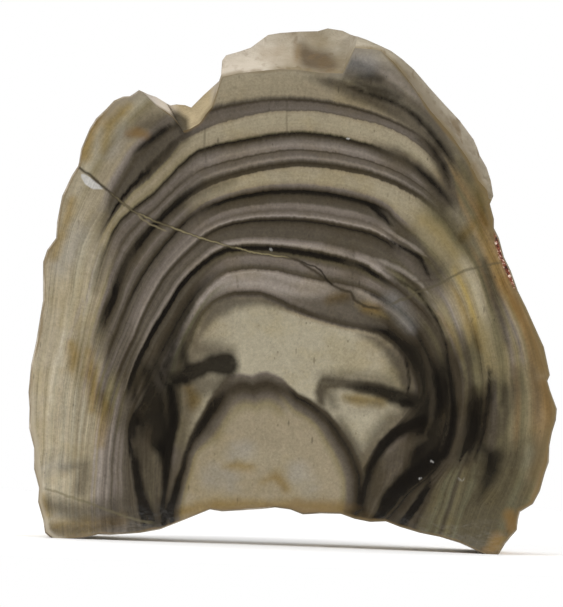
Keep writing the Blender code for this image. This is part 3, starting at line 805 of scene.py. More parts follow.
def beside(line):
    """Signed distance to a line of points, negative above it, and the share of its length gone by there."""
    line = np.array(line, float)
    length = travelled(line)
    best = np.full(len(PIXEL), 1e9)
    side_of, along = np.zeros(len(PIXEL)), np.zeros(len(PIXEL))
    for start, end, gone in zip(line, line[1:], length):
        side = end - start
        part = np.clip(((PIXEL - start) @ side) / (side @ side), 0, 1)
        off = PIXEL - start - part[:, None] * side
        distance = np.linalg.norm(off, axis=1)
        nearer = distance < best
        best = np.where(nearer, distance, best)
        below = np.sign(side[0] * off[:, 1] - side[1] * off[:, 0])
        side_of = np.where(nearer, below * distance, side_of)
        along = np.where(nearer, (gone + part * np.linalg.norm(side)) / length[-1], along)
    return np.clip(side_of, -30, 30), along


CRACKS = {"crack": CRACK_LONG, "branch": CRACK_SHORT, "low": CRACK_LOW, "strand": CRACK_STRAND,
          "twig": CRACK_TWIG}
for name, line in CRACKS.items():
    FIELDS[name + "_side"], FIELDS[name + "_along"] = beside(line)
FIELDS["hair"] = stroke_depth([[point + (0.9,) for point in hair] for hair in HAIRS])
FIELDS.update(band=BAND, around=AROUND, dome=DOME_DEPTH, scar=SCAR_DEPTH * 1000, ripple=RIPPLE * 1000)


def beyond_edge():
    """Pixels from the face's edge, outward along each point's spoke: below zero on the face."""
    reach = np.concatenate([[0], np.tile(SHARE * REACH, (len(POINTS) - 2) // len(STATIONS)), [0]])
    spoke = np.hypot(PLANE_POINTS[:, 0] - MIDDLE_PLANE[0], PLANE_POINTS[:, 2] - MIDDLE_PLANE[1])
    return np.clip((spoke - reach) / SCALE, -60, 60)


FIELDS["edge"] = beyond_edge()
print("numbers kept at each point:", ", ".join(FIELDS))


# %% [markdown]
# ## The mesh
# The rings become one closed mesh: a fan round the middle of the face, four-sided patches between the
# rings, and a fan at the pole behind. Three finishes share it: polish, broken flint and rind.
# %% Faces of the rings
def stone_faces(ring_count, station_count):
    """Corner numbers of all four-sided patches, then of both fans, in the order that faces outwards."""
    here = np.arange(station_count)
    after = np.roll(here, -1)
    inner = 1 + np.arange(ring_count - 1)[:, None] * station_count
    outer = inner + station_count
    patches = np.stack([inner + here, inner + after, outer + after, outer + here], axis=-1).reshape(-1, 4)
    front = np.stack([0 * here, 1 + after, 1 + here], axis=-1)
    last = 1 + (ring_count - 1) * station_count
    back = np.stack([last + here, last + after, 0 * here + last + station_count], axis=-1)
    return patches, front, back


def build_stone():
    """One mesh with its numbers as attributes, smooth over the rough and crisp at the face's edge."""
    count = len(STATIONS)
    rings = (len(POINTS) - 2) // count
    patches, front, back = stone_faces(rings, count)
    mesh = bpy.data.meshes.new("banded_flint")
    mesh.from_pydata(POINTS, [], patches.tolist() + front.tolist() + back.tolist())
    ring = np.arange(rings - 1).repeat(count)
    slot = np.where(ring < FACE_RINGS - 1, 0, np.where(ring < FACE_RINGS + BREAK_RINGS - 1, 1, 2))
    slots = np.concatenate([slot, np.zeros(count, int), np.full(count, 2)]).astype(np.int32)
    mesh.polygons.foreach_set("material_index", slots)
    for name, values in FIELDS.items():
        mesh.attributes.new(name, "FLOAT", "POINT").data.foreach_set("value", values.astype(np.float32))
    mesh.shade_smooth()
    mesh.set_sharp_from_angle(angle=math.radians(38))
    mesh.update()
    stone = bpy.data.objects.new("banded_flint", mesh)
    bpy.context.scene.collection.objects.link(stone)
    return stone


STONE = build_stone()
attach(STONE, "root")
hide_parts("flint")
print("triangles:", sum(len(polygon.vertices) - 2 for polygon in STONE.data.polygons))

# %% [markdown]
# ## Shader helpers
# A finish is a net of nodes. Wired one by one it is hard to read, so a socket is wrapped in a small
# class: an expression such as 1 - mask * 0.5 then adds its own maths nodes.
# %% Numbers that add their own nodes
class Number:
    """A socket with a number, and the graph that it is in."""

    def __init__(self, graph, socket):
        self.graph = graph
        self.socket = socket

    def maths(self, operation, *values):
        node = self.graph.node("ShaderNodeMath", {"operation": operation}, values)
        return Number(self.graph, node.outputs[0])

    def __add__(self, other):
        return self.maths("ADD", self, other)

    def __radd__(self, other):
        return self.maths("ADD", other, self)

    def __sub__(self, other):
        return self.maths("SUBTRACT", self, other)

    def __rsub__(self, other):
        return self.maths("SUBTRACT", other, self)

    def __mul__(self, other):
        return self.maths("MULTIPLY", self, other)

    def __rmul__(self, other):
        return self.maths("MULTIPLY", other, self)

    def __truediv__(self, other):
        return self.maths("DIVIDE", self, other)

    def __rtruediv__(self, other):
        return self.maths("DIVIDE", other, self)

    def __abs__(self):
        return self.maths("ABSOLUTE", self)

    def most(self, other):
        return self.maths("MAXIMUM", self, other)

    def rise(self, low, high):
        """0 at low, 1 at high, eased between; high may lie below low."""
        settings = {"interpolation_type": "SMOOTHSTEP", "clamp": True}
        node = self.graph.node("ShaderNodeMapRange", settings, (self, low, high, 0.0, 1.0))
        return Number(self.graph, node.outputs["Result"])


# %% A graph of nodes
def linear(red, green, blue):
    """A colour given as screen values from 0 to 255, as the light values that a shader wants."""
    share = np.array([red, green, blue]) / 255
    return tuple(np.where(share <= 0.04045, share / 12.92, ((share + 0.055) / 1.055) ** 2.4)) + (1.0,)


class Graph:
    """One finish: a material, its shader, and methods that add nodes."""

    def __init__(self, name):
        self.material = bpy.data.materials.new(name)
        self.material.use_nodes = True
        self.tree = self.material.node_tree
        self.shader = self.tree.nodes["Principled BSDF"]

    def node(self, kind, settings=None, values=()):
        """A node of any type: its settings first, then a value or link per socket, by order or name."""
        node = self.tree.nodes.new(kind)
        for name, setting in (settings or {}).items():
            setattr(node, name, setting)
        items = values.items() if isinstance(values, dict) else enumerate(values)
        for key, value in items:
            self.feed(node.inputs[key], value)
        return node

    def feed(self, socket, value):
        """Links a wrapped number or a socket, and sets anything else as the socket's own value."""
        value = value.socket if isinstance(value, Number) else value
        if isinstance(value, bpy.types.NodeSocket):
            self.tree.links.new(value, socket)
        else:
            socket.default_value = value

    def kept(self, name):
        """A number kept at the mesh's points."""
        return Number(self, self.node("ShaderNodeAttribute", {"attribute_name": name}).outputs["Fac"])

    def place(self):
        """Object coordinates, in metres."""
        return self.node("ShaderNodeTexCoord").outputs["Object"]

    def tall(self, height):
        """Object coordinates with the height squeezed, so that a pattern on them is drawn out upright."""
        values = {"Vector": self.place(), "Scale": (1.0, 1.0, height)}
        return self.node("ShaderNodeMapping", None, values).outputs[0]

    def turned(self):
        """Object coordinates turned askew, so that no grain lines up with the face."""
        values = {"Vector": self.place(), "Rotation": (0.6, 0.4, 0.9)}
        return self.node("ShaderNodeMapping", None, values).outputs[0]

    def vector(self, x, y, z=0.0):
        """Three numbers as one place, for noise over something else than Object coordinates."""
        return self.node("ShaderNodeCombineXYZ", None, (x, y, z)).outputs[0]

    def noise(self, vector, scale, detail=2.0, roughness=0.5):
        """Smooth noise from about 0.2 to 0.8, centred on a half."""
        values = {"Vector": vector, "Scale": scale, "Detail": detail, "Roughness": roughness}
        return Number(self, self.node("ShaderNodeTexNoise", None, values).outputs["Fac"])

    def cells(self, vector, scale):
        """Distance to the nearest of many scattered points."""
        values = {"Vector": vector, "Scale": scale}
        return Number(self, self.node("ShaderNodeTexVoronoi", None, values).outputs["Distance"])

    def blend(self, first, second, mask, kind="MIX"):
        """Two colours mixed by a mask."""
        settings = {"data_type": "RGBA", "blend_type": kind, "clamp_factor": True}
        return self.node("ShaderNodeMix", settings, {0: mask, 6: first, 7: second}).outputs[2]

    def ramp(self, number, stops):
        """Colours at places from 0 to 1."""
        node = self.node("ShaderNodeValToRGB", None, (number,))
        elements = node.color_ramp.elements
        for index, (place, colour) in enumerate(stops):
            element = elements[index] if index < 2 else elements.new(place)
            element.position = place
            element.color = colour
        return node.outputs["Color"]

    def bands(self, number, stops):
        """A ramp over banding numbers; a long list is cut in ramps of up to 30 colours laid end to end."""
        whole = None
        for first in range(0, len(stops) - 1, 29):
            part = stops[first:first + 30]
            low, high = part[0][0], part[-1][0]
            places = [((at - low) / (high - low), PALETTE[name]) for at, name in part]
            colour = self.ramp((number - low) / (high - low), places)
            if whole is not None:
                colour = self.blend(whole, colour, number.maths("GREATER_THAN", number, low))
            whole = colour
        return whole

    def tint(self, colour, amount):
        """A colour made lighter or darker by a factor near 1."""
        node = self.node("ShaderNodeVectorMath", {"operation": "SCALE"}, {0: colour, 3: amount})
        return node.outputs[0]

    def dress(self, values, strength=0.0, distance=0.001, height=None):
        """Values or links for the shader's sockets, and a bump for its normal where a height is given."""
        for name, value in values.items():
            self.feed(self.shader.inputs[name], value)
        if height is not None:
            bump = {"Strength": strength, "Distance": distance, "Height": height}
            self.feed(self.shader.inputs["Normal"], self.node("ShaderNodeBump", None, bump).outputs[0])
        return self.material


print("a mid grey in light values:", round(float(linear(128, 128, 128)[0]), 3))

# %% [markdown]
# ## Colours of the flint
# All the bands are made of few colours: cream and beige where the flint is chalky, mauve and grey where
# it is fine, olive to black where it is dense. A named palette keeps the lists of bands readable.
# %% Palette
PALETTE = {name: linear(*colour) for name, colour in {
    "black": (20, 17, 13), "soot": (34, 30, 23), "umber": (54, 47, 36), "bark": (67, 60, 48),
    "slate": (79, 72, 61), "smoke": (91, 83, 73), "ash": (101, 93, 84), "mauve": (112, 103, 94),
    "dove": (127, 118, 108), "mist": (142, 133, 123), "olive": (80, 73, 55), "moss": (98, 91, 68),
    "straw": (122, 112, 86), "sand": (138, 127, 105), "beige": (149, 139, 116), "pale": (155, 147, 126),
    "cream": (163, 152, 130), "chalk": (176, 166, 146), "tan": (148, 126, 94), "brown": (115, 97, 69),
    "yellow": (150, 131, 80), "blue": (136, 137, 138), "green": (92, 88, 68), "white": (186, 184, 180),
}.items()}
print("named colours:", len(PALETTE))

# %% Bands of the crown and the shoulder
CROWN = [
    (150, "pale"), (206, "pale"), (209.5, "sand"), (211.5, "smoke"), (213.5, "umber"), (216.5, "umber"),
    (218.5, "smoke"), (220.5, "mauve"), (223, "dove"), (228, "mist"), (236, "dove"), (243, "mist"),
    (245.5, "mauve"), (247, "bark"), (250, "slate"), (253, "ash"), (259, "mauve"), (261.5, "smoke"),
    (265, "olive"), (267, "soot"), (269.5, "black"), (271, "soot"), (273, "bark"), (274.6, "dove"),
    (276, "mist"), (279.5, "mauve"), (282.5, "slate"), (290, "slate"), (297, "bark"), (300, "soot"),
    (302, "umber"), (303.6, "smoke"), (305, "mist"), (307, "mauve"), (310, "smoke"), (314, "mauve"),
    (316.5, "mauve"), (319, "slate"), (325, "bark"), (328, "soot"), (330.5, "black"), (332, "umber"),
    (334.5, "smoke"), (336.8, "mauve"), (338.6, "sand"), (343, "beige"), (351, "beige"), (354.2, "sand"),
    (355.6, "bark"), (359, "umber"), (361, "slate"), (364, "dove"), (366.5, "ash"), (370, "smoke"),
    (371.5, "bark"), (373, "mauve"), (377, "dove"), (381, "ash"), (384, "slate"), (386, "umber"),
    (388.4, "soot"), (389.5, "olive"), (391.5, "sand"), (398, "beige"), (406, "beige"), (408.6, "sand"),
    (409.8, "smoke"), (412, "ash"), (417, "smoke"), (419.5, "umber"), (421, "slate"), (423.5, "sand"),
    (430, "sand"), (440, "beige"), (447, "pale"), (470, "mist"), (500, "pale")]
SHOULDER = [
    (150, "pale"), (206, "sand"), (214, "olive"), (222, "bark"), (232, "green"), (240, "dove"),
    (244, "mist"), (247, "dove"), (249, "slate"), (253, "soot"), (258, "umber"), (262, "bark"),
    (264.5, "slate"), (267, "bark"), (269, "black"), (272.5, "black"), (274.3, "slate"), (276.5, "dove"),
    (279, "mauve"), (284, "slate"), (290, "smoke"), (295, "slate"), (299, "umber"), (302, "slate"),
    (305, "dove"), (308, "mauve"), (311, "ash"), (314, "mauve"), (318, "ash"), (324, "smoke"),
    (330, "slate"), (334, "soot"), (337.5, "umber"), (340, "slate"), (346, "ash"), (350, "slate"),
    (354, "bark"), (358, "black"), (362, "soot"), (365, "slate"), (368, "ash"), (371, "smoke"),
    (373, "bark"), (376, "smoke"), (382, "ash"), (386, "bark"), (388, "soot"), (389.5, "olive"),
    (392, "straw"), (400, "sand"), (406.5, "straw"), (408.6, "slate"), (410.2, "umber"), (411.3, "black"),
    (412.2, "soot"), (413.6, "slate"), (416, "slate"), (418.5, "bark"), (421.5, "slate"), (424, "ash"),
    (429, "dove"), (434, "sand"), (445, "sand"), (458, "straw"), (468, "pale"), (482, "beige"),
    (500, "tan")]
print("bands of crown and shoulder:", len(CROWN), len(SHOULDER))

# %% Bands of the left flank, from high to low
FLANK_LEFT = [
    (150, "pale"), (204, "straw"), (210, "olive"), (214, "soot"), (219, "black"), (230, "black"),
    (238, "soot"), (243, "umber"), (247, "soot"), (251, "slate"), (254, "umber"), (258, "slate"),
    (261, "umber"), (265, "bark"), (268, "soot"), (271, "black"), (273.5, "soot"), (276, "smoke"),
    (279, "slate"), (286, "bark"), (292, "slate"), (297, "umber"), (301, "umber"), (304, "smoke"),
    (307, "slate"), (312, "smoke"), (316, "slate"), (320, "ash"), (324, "slate"), (330, "slate"),
    (335, "umber"), (339, "bark"), (344, "smoke"), (348, "slate"), (352, "bark"), (357, "umber"),
    (362, "soot"), (367, "bark"), (371, "mauve"), (375, "straw"), (379, "sand"), (384, "sand"),
    (389, "beige"), (394, "pale"), (399, "chalk"), (404, "beige"), (409, "cream"), (416, "beige"),
    (424, "pale"), (433, "beige"), (442, "cream"), (455, "beige"), (470, "cream"), (485, "sand"),
    (500, "chalk")]
FLANK_OCHRE = [
    (150, "straw"), (205, "mauve"), (210, "umber"), (214, "soot"), (218, "black"), (223, "black"),
    (227, "soot"), (232, "umber"), (238, "soot"), (243, "black"), (249, "soot"), (253, "umber"),
    (257, "bark"), (262, "slate"), (268, "slate"), (274, "olive"), (279, "smoke"), (284, "mauve"),
    (290, "moss"), (295, "smoke"), (300, "moss"), (306, "straw"), (312, "moss"), (318, "smoke"),
    (324, "ash"), (330, "moss"), (335, "mauve"), (341, "sand"), (346, "straw"), (352, "dove"),
    (358, "sand"), (364, "dove"), (370, "sand"), (376, "straw"), (382, "sand"), (388, "straw"),
    (394, "sand"), (400, "straw"), (407, "sand"), (413, "beige"), (418, "cream"), (424, "pale"),
    (432, "chalk"), (441, "beige"), (455, "cream"), (470, "beige"), (485, "cream"), (500, "chalk")]
FOOT_LEFT = [
    (150, "mauve"), (204, "ash"), (209, "slate"), (212, "umber"), (215, "black"), (218, "black"),
    (221, "umber"), (225, "bark"), (229, "olive"), (233, "bark"), (237, "bark"), (241, "bark"),
    (244, "bark"), (247, "slate"), (250, "bark"), (253, "slate"), (257, "slate"), (261, "ash"),
    (265, "smoke"), (269, "mauve"), (273, "slate"), (277, "ash"), (282, "dove"), (286, "ash"),
    (291, "mauve"), (295, "dove"), (300, "mist"), (304, "dove"), (309, "sand"), (315, "mist"),
    (321, "sand"), (328, "beige"), (335, "sand"), (343, "beige"), (350, "sand"), (358, "pale"),
    (366, "sand"), (374, "beige"), (382, "pale"), (390, "beige"), (398, "cream"), (408, "pale"),
    (417, "cream"), (428, "pale"), (438, "chalk"), (448, "beige"), (458, "cream"), (470, "beige"),
    (485, "cream"), (500, "chalk")]
print("bands of the left flank:", len(FLANK_LEFT), len(FLANK_OCHRE), len(FOOT_LEFT))

# %% Bands of the right flank, from high to low
FLANK_HIGH = [
    (150, "pale"), (205, "beige"), (209, "sand"), (212, "umber"), (217, "black"), (221, "soot"),
    (226, "umber"), (231, "bark"), (236, "slate"), (240, "ash"), (243, "slate"), (247, "umber"),
    (252, "slate"), (258, "smoke"), (266, "slate"), (272, "umber"), (277, "slate"), (281, "moss"),
    (286, "umber"), (291, "olive"), (296, "ash"), (300, "mauve"), (305, "smoke"), (311, "slate"),
    (317, "olive"), (323, "slate"), (330, "moss"), (336, "straw"), (341, "straw"), (345, "straw"),
    (349, "straw"), (354, "moss"), (358, "olive"), (365, "olive"), (375, "olive"), (388, "olive"),
    (400, "brown"), (412, "moss"), (425, "brown"), (450, "moss"), (470, "straw"), (500, "mist")]
FLANK_GOLD = [
    (150, "pale"), (205, "straw"), (210, "umber"), (215, "soot"), (222, "black"), (228, "soot"),
    (235, "umber"), (241, "soot"), (247, "umber"), (254, "bark"), (261, "olive"), (268, "bark"),
    (274, "umber"), (279, "umber"), (283, "olive"), (287, "mauve"), (292, "straw"), (298, "straw"),
    (304, "dove"), (311, "sand"), (317, "sand"), (323, "beige"), (328, "sand"), (333, "beige"),
    (339, "yellow"), (343, "sand"), (347, "pale"), (352, "beige"), (357, "straw"), (363, "moss"),
    (372, "brown"), (382, "moss"), (392, "brown"), (400, "tan"), (407, "brown"), (416, "tan"),
    (430, "brown"), (460, "tan"), (500, "sand")]
FLANK_LOW = [
    (150, "pale"), (203, "sand"), (208, "smoke"), (212, "umber"), (216, "bark"), (220, "soot"),
    (226, "umber"), (232, "soot"), (238, "black"), (246, "black"), (254, "soot"), (262, "soot"),
    (270, "soot"), (278, "umber"), (286, "umber"), (291, "slate"), (297, "moss"), (305, "bark"),
    (313, "olive"), (320, "moss"), (328, "moss"), (335, "olive"), (342, "straw"), (349, "straw"),
    (356, "moss"), (364, "straw"), (372, "mauve"), (380, "straw"), (388, "mauve"), (395, "sand"),
    (402, "straw"), (410, "tan"), (420, "brown"), (435, "tan"), (460, "brown"), (500, "sand")]
FLANK_DARK = [
    (150, "pale"), (206, "sand"), (211, "olive"), (215, "soot"), (219, "umber"), (222, "slate"),
    (226, "mauve"), (229, "smoke"), (232, "umber"), (236, "black"), (243, "soot"), (249, "umber"),
    (254, "soot"), (262, "soot"), (270, "black"), (278, "soot"), (284, "umber"), (290, "bark"),
    (295, "umber"), (300, "soot"), (306, "black"), (311, "black"), (314, "umber"), (317, "black"),
    (322, "black"), (325, "umber"), (328, "black"), (333, "soot"), (336, "umber"), (340, "umber"),
    (343, "bark"), (347, "smoke"), (351, "moss"), (356, "olive"), (361, "moss"), (366, "straw"),
    (375, "brown"), (382, "moss"), (390, "straw"), (405, "brown"), (420, "tan"), (440, "brown"),
    (470, "tan"), (500, "sand")]
FLANK_FOOT = [
    (150, "slate"), (205, "umber"), (212, "soot"), (218, "umber"), (223, "bark"), (227, "slate"),
    (231, "bark"), (236, "soot"), (242, "black"), (250, "black"), (256, "soot"), (262, "umber"),
    (268, "soot"), (276, "umber"), (283, "bark"), (288, "umber"), (292, "bark"), (296, "umber"),
    (300, "olive"), (305, "olive"), (310, "green"), (314, "olive"), (319, "green"), (323, "bark"),
    (329, "moss"), (334, "olive"), (339, "green"), (344, "olive"), (350, "olive"), (356, "olive"),
    (364, "olive"), (374, "olive"), (386, "olive"), (400, "green"), (415, "olive"), (435, "moss"),
    (460, "brown"), (500, "brown")]
print("bands of the right flank:", len(FLANK_HIGH + FLANK_GOLD + FLANK_LOW + FLANK_DARK + FLANK_FOOT))

# %% [markdown]
# ## The polished face
# Polish deepens the colours and takes nothing off the pattern. The face is built up as a painter would:
# the bands of each part of the arch first, then the inner dome, the strokes, the cracks and stains, and
# the fine grain last. Fine streaks come from noise that is stretched along the bands.
# %% Bands of the face
def wavering_band(graph):
    """The banding number, moved by slow noise and by fine upright noise that frays the bands' edges."""
    slow = graph.noise(graph.place(), 70, 2) - 0.5
    fray = graph.noise(graph.tall(0.35), 800, 4, 0.7) - 0.5
    return graph.kept("band") + slow * 3.0 + fray * 3.4


def banded_colour(graph, band):
    """Each part of the arch has its own bands; neighbours fade into each other over a few degrees."""
    around = graph.kept("around")
    colour = graph.bands(band, CROWN)
    parts = [(SHOULDER, 98, 107), (FLANK_LEFT, 120, 129), (FLANK_OCHRE, 133, 140), (FOOT_LEFT, 143, 151),
             (FLANK_HIGH, 67, 61), (FLANK_GOLD, 56, 50), (FLANK_LOW, 47, 40), (FLANK_DARK, 34, 29),
             (FLANK_FOOT, 22, 14)]
    leaning = around + (band - 330) * 0.04 * around.rise(100, 112)
    for stops, start, end in parts:
        colour = graph.blend(colour, graph.bands(band, stops), leaning.rise(start, end))
    return colour


def streaks(graph, band):
    """Thin lines along the bands: noise over (banding, angle), strong in the flanks, none in the domes."""
    around = graph.kept("around")
    fine = graph.noise(graph.vector(band * 0.5, around * 0.05), 1.0, 3, 0.7)
    broad = graph.noise(graph.vector(band * 0.12, around * 0.03, 7.0), 1.0, 2)
    flank = 0.5 + around.rise(104, 126) * 1.4 + around.rise(66, 44) * 1.0
    return ((fine - 0.5) * 0.6 + (broad - 0.5) * 0.35) * flank * band.rise(200, 222)


# %% The inner dome and the strokes
def inner_dome(graph, colour):
    """Inside the dome's rim: a soft grey edge on top, a dark one at the sides, fading into pale flint."""
    depth = graph.kept("dome") + (graph.noise(graph.place(), 260, 2) - 0.5) * 3
    around = graph.kept("around")
    thick = 0.8 + around.rise(66, 54) * 0.15 + around.rise(104, 114) * 0.5 - around.rise(116, 142) * 0.72
    top = [(0.0, "mauve"), (0.07, "smoke"), (0.14, "slate"), (0.25, "umber"), (0.33, "umber"),
           (0.43, "bark"), (0.57, "smoke"), (0.76, "straw"), (1.0, "sand")]
    limb = [(0.0, "bark"), (0.10, "umber"), (0.20, "soot"), (0.34, "umber"), (0.50, "slate"),
            (0.62, "smoke"), (0.78, "straw"), (1.0, "sand")]
    across = depth / (thick * 30.0)
    beside = around.rise(104, 120).most(around.rise(88, 78))
    inside = graph.blend(graph.bands(depth / 42.0, top), graph.bands(across, limb), beside)
    core = across.rise(0.02, 0.14) * across.rise(0.46, 0.26)
    inside = graph.blend(inside, PALETTE["black"], core * around.rise(104, 114) * 0.75)
    colour = graph.blend(colour, PALETTE["bark"], depth.rise(-9, 0) * around.rise(62, 46) * 0.6)
    return graph.blend(colour, inside, depth.rise(-2.5, 2.0))


PAINT = [
    ("smoke", "slate", -7, 5, 0.85), ("dim", "bark", -10, 9, 0.72), ("lift", "beige", -11, 9, 0.45),
    ("gold", "yellow", -7, 7, 0.4), ("mist", "mist", -1.5, 2.5, 0.6), ("ink", "black", -2.5, 2.5, 0.93),
    ("olive", "bark", -4, 7, 0.85), ("brow_pale", "bark", -3.5, 4, 0.92), ("brow", "soot", -4, 5, 0.97),
    ("shade", "soot", -6, 8, 0.94), ("dark", "black", -3, 4, 0.95), ("pale", "bark", -5, 5, 0.8),
    ("thread", "bark", -2, 4, 0.5), ("bluish", "blue", -10, 6, 0.28), ("hair", "bark", -1.0, 0.8, 0.4),
    ("glint", "white", -0.6, 1.2, 0.85)]
FINE = ("hair", "glint")
CLOUDED = ("brow", "brow_pale", "shade")


def stroked(graph, colour):
    """Lenses and strokes in painting order, each eased in from the depth where it starts to full depth."""
    wobble = (graph.noise(graph.place(), 420, 3) - 0.5) * 4
    mottle = graph.noise(graph.place(), 260, 4, 0.6).rise(0.25, 0.5) * 0.1 + 0.9
    for name, paint, start, full, strength in PAINT:
        shake = wobble * 0.15 if name in FINE else wobble
        mask = (graph.kept(name) + shake).rise(start, full) * strength
        if name in CLOUDED:
            mask = mask * mottle
        colour = graph.blend(colour, PALETTE[paint], mask)
    return colour


print("layers of strokes and lenses:", len(PAINT))


# %% Stains, crust and rim
def stained(graph, colour):
    """Ochre and rust soaked into the stone."""
    cloud = graph.noise(graph.place(), 180, 4, 0.6) - 0.5
    ochre = (graph.kept("ochre") + cloud * 10).rise(-7, 6)
    colour = graph.blend(colour, linear(230, 212, 166), ochre * 0.9, "MULTIPLY")
    rust = (graph.kept("rust") + cloud * 8).rise(-5, 5)
    return graph.blend(colour, linear(116, 88, 46), rust * 0.7)


def crusted(graph, colour):
    """Red-brown crust with whitish sparks along the right rim."""
    sparks = graph.ramp(graph.noise(graph.place(), 1500, 2, 0.7), [
        (0.36, linear(38, 14, 10)), (0.47, linear(92, 34, 18)), (0.56, linear(138, 70, 40)),
        (0.66, linear(228, 208, 192))])
    ragged = (graph.noise(graph.place(), 180, 4, 0.6) - 0.5) * 5
    return graph.blend(colour, sparks, (graph.kept("crust") + ragged).rise(-2, 2))


def rimmed(graph, colour):
    """Near the break the face pales; round the rest of its edge it is a little browner, in patches."""
    edge = graph.kept("edge")
    around = graph.kept("around")
    broken = graph.kept("band").rise(430, 452) * around.rise(114, 110)
    upper = around.rise(70, 82) * 0.75 + 0.25
    patchy = graph.noise(graph.place(), 120, 3) - 0.5
    paler = (edge + patchy * 16).rise(-12, 2) * broken * upper
    colour = graph.blend(colour, linear(136, 127, 112), paler * 0.8)
    browner = (edge + patchy * 8).rise(-3.5, 0) * (1 - broken)
    colour = graph.blend(colour, linear(112, 93, 62), browner * 0.65)
    right = around.rise(48, 36) * around.rise(4, 12)
    colour = graph.blend(colour, linear(116, 96, 66), (edge + patchy * 18).rise(-20, -4) * right * 0.45)
    cream = (edge + patchy * 10).rise(-7, -2) * around.rise(146, 156) * graph.kept("band").rise(390, 420)
    colour = graph.blend(colour, PALETTE["chalk"], cream * 0.55)
    seam = (edge + patchy * 6).rise(-4, -0.5) * around.rise(78, 75) * broken
    return graph.blend(colour, linear(112, 95, 64), seam * 0.8)


# %% Cracks and specks
def cracked(graph, colour):
    """The long crack: open and dark at its mouth, healed pale yellow further in, then dark again."""
    jitter = (graph.noise(graph.place(), 700, 3) - 0.5) * 3.0
    side = abs(graph.kept("crack_side") + jitter)
    along = graph.kept("crack_along")
    inside = along.rise(0.995, 0.97) * along.rise(0.02, 0.03)
    broken_up = graph.noise(graph.place(), 260, 2).rise(0.38, 0.52)
    healed = along.rise(0.13, 0.18) * along.rise(0.70, 0.66)
    colour = graph.blend(colour, PALETTE["umber"], side.rise(2.6, 0.8) * inside * 0.55)
    vein = graph.blend(PALETTE["umber"], linear(136, 126, 94), healed * (broken_up * 0.6 + 0.4))
    colour = graph.blend(colour, vein, side.rise(1.2, 0.2) * inside * 0.75)
    thin = [("strand", "straw", 1.4, 0.7), ("twig", "soot", 1.6, 0.8), ("branch", "olive", 2.2, 0.6),
            ("low", "moss", 2.2, 0.55)]
    for name, paint, width, strength in thin:
        beside_it = abs(graph.kept(name + "_side") + jitter)
        share = graph.kept(name + "_along")
        mask = beside_it.rise(width, 0.3) * share.rise(0.99, 0.9) * share.rise(0.0, 0.06) * strength
        colour = graph.blend(colour, PALETTE[paint], mask)
    return colour


def grained(graph, colour, band):
    """Streaks, clouds and grain as a factor near 1, then small dark specks and short upright ticks."""
    place = graph.place()
    cloud = graph.noise(place, 110, 4, 0.6) - 0.5
    grain = graph.noise(graph.turned(), 1500, 3, 0.8) - 0.5
    mottle = graph.noise(graph.turned(), 620, 3, 0.7) - 0.5
    upright = graph.noise(graph.tall(0.2), 900, 2) - 0.5
    fine = grain * 0.75 + mottle * 0.36 + upright * 0.16
    colour = graph.tint(colour, 1 + streaks(graph, band) + cloud * 0.26 + fine)
    warm = graph.noise(graph.tall(1.4), 75, 4, 0.6).rise(0.46, 0.66)
    colour = graph.blend(colour, linear(245, 240, 224), warm * 0.6, "MULTIPLY")
    near = graph.noise(place, 130, 3, 0.7).rise(0.48, 0.66)
    specks = graph.cells(graph.tall(0.6), 640).rise(0.20, 0.05) * near
    near = graph.noise(place, 70, 2, 0.5).rise(0.48, 0.60)
    ticks = graph.cells(graph.tall(0.3), 380).rise(0.14, 0.05) * near
    return graph.blend(colour, PALETTE["umber"], specks.most(ticks) * 0.5)


def polished_finish():
    """Glossy flint with all the layers above, and only the faintest waviness."""
    graph = Graph("polished_flint")
    band = wavering_band(graph)
    colour = banded_colour(graph, band)
    colour = inner_dome(graph, colour)
    colour = stroked(graph, colour)
    colour = grained(graph, colour, band)
    colour = stained(graph, colour)
    colour = rimmed(graph, colour)
    colour = crusted(graph, colour)
    colour = cracked(graph, colour)
    rough = graph.noise(graph.place(), 160, 3) * 0.10 + 0.07 + graph.kept("crust").rise(-2, 1) * 0.35
    waves = graph.noise(graph.place(), 380, 3)
    return graph.dress({"Base Color": colour, "Roughness": rough, "IOR": 1.53}, 0.12, 0.0004, waves)
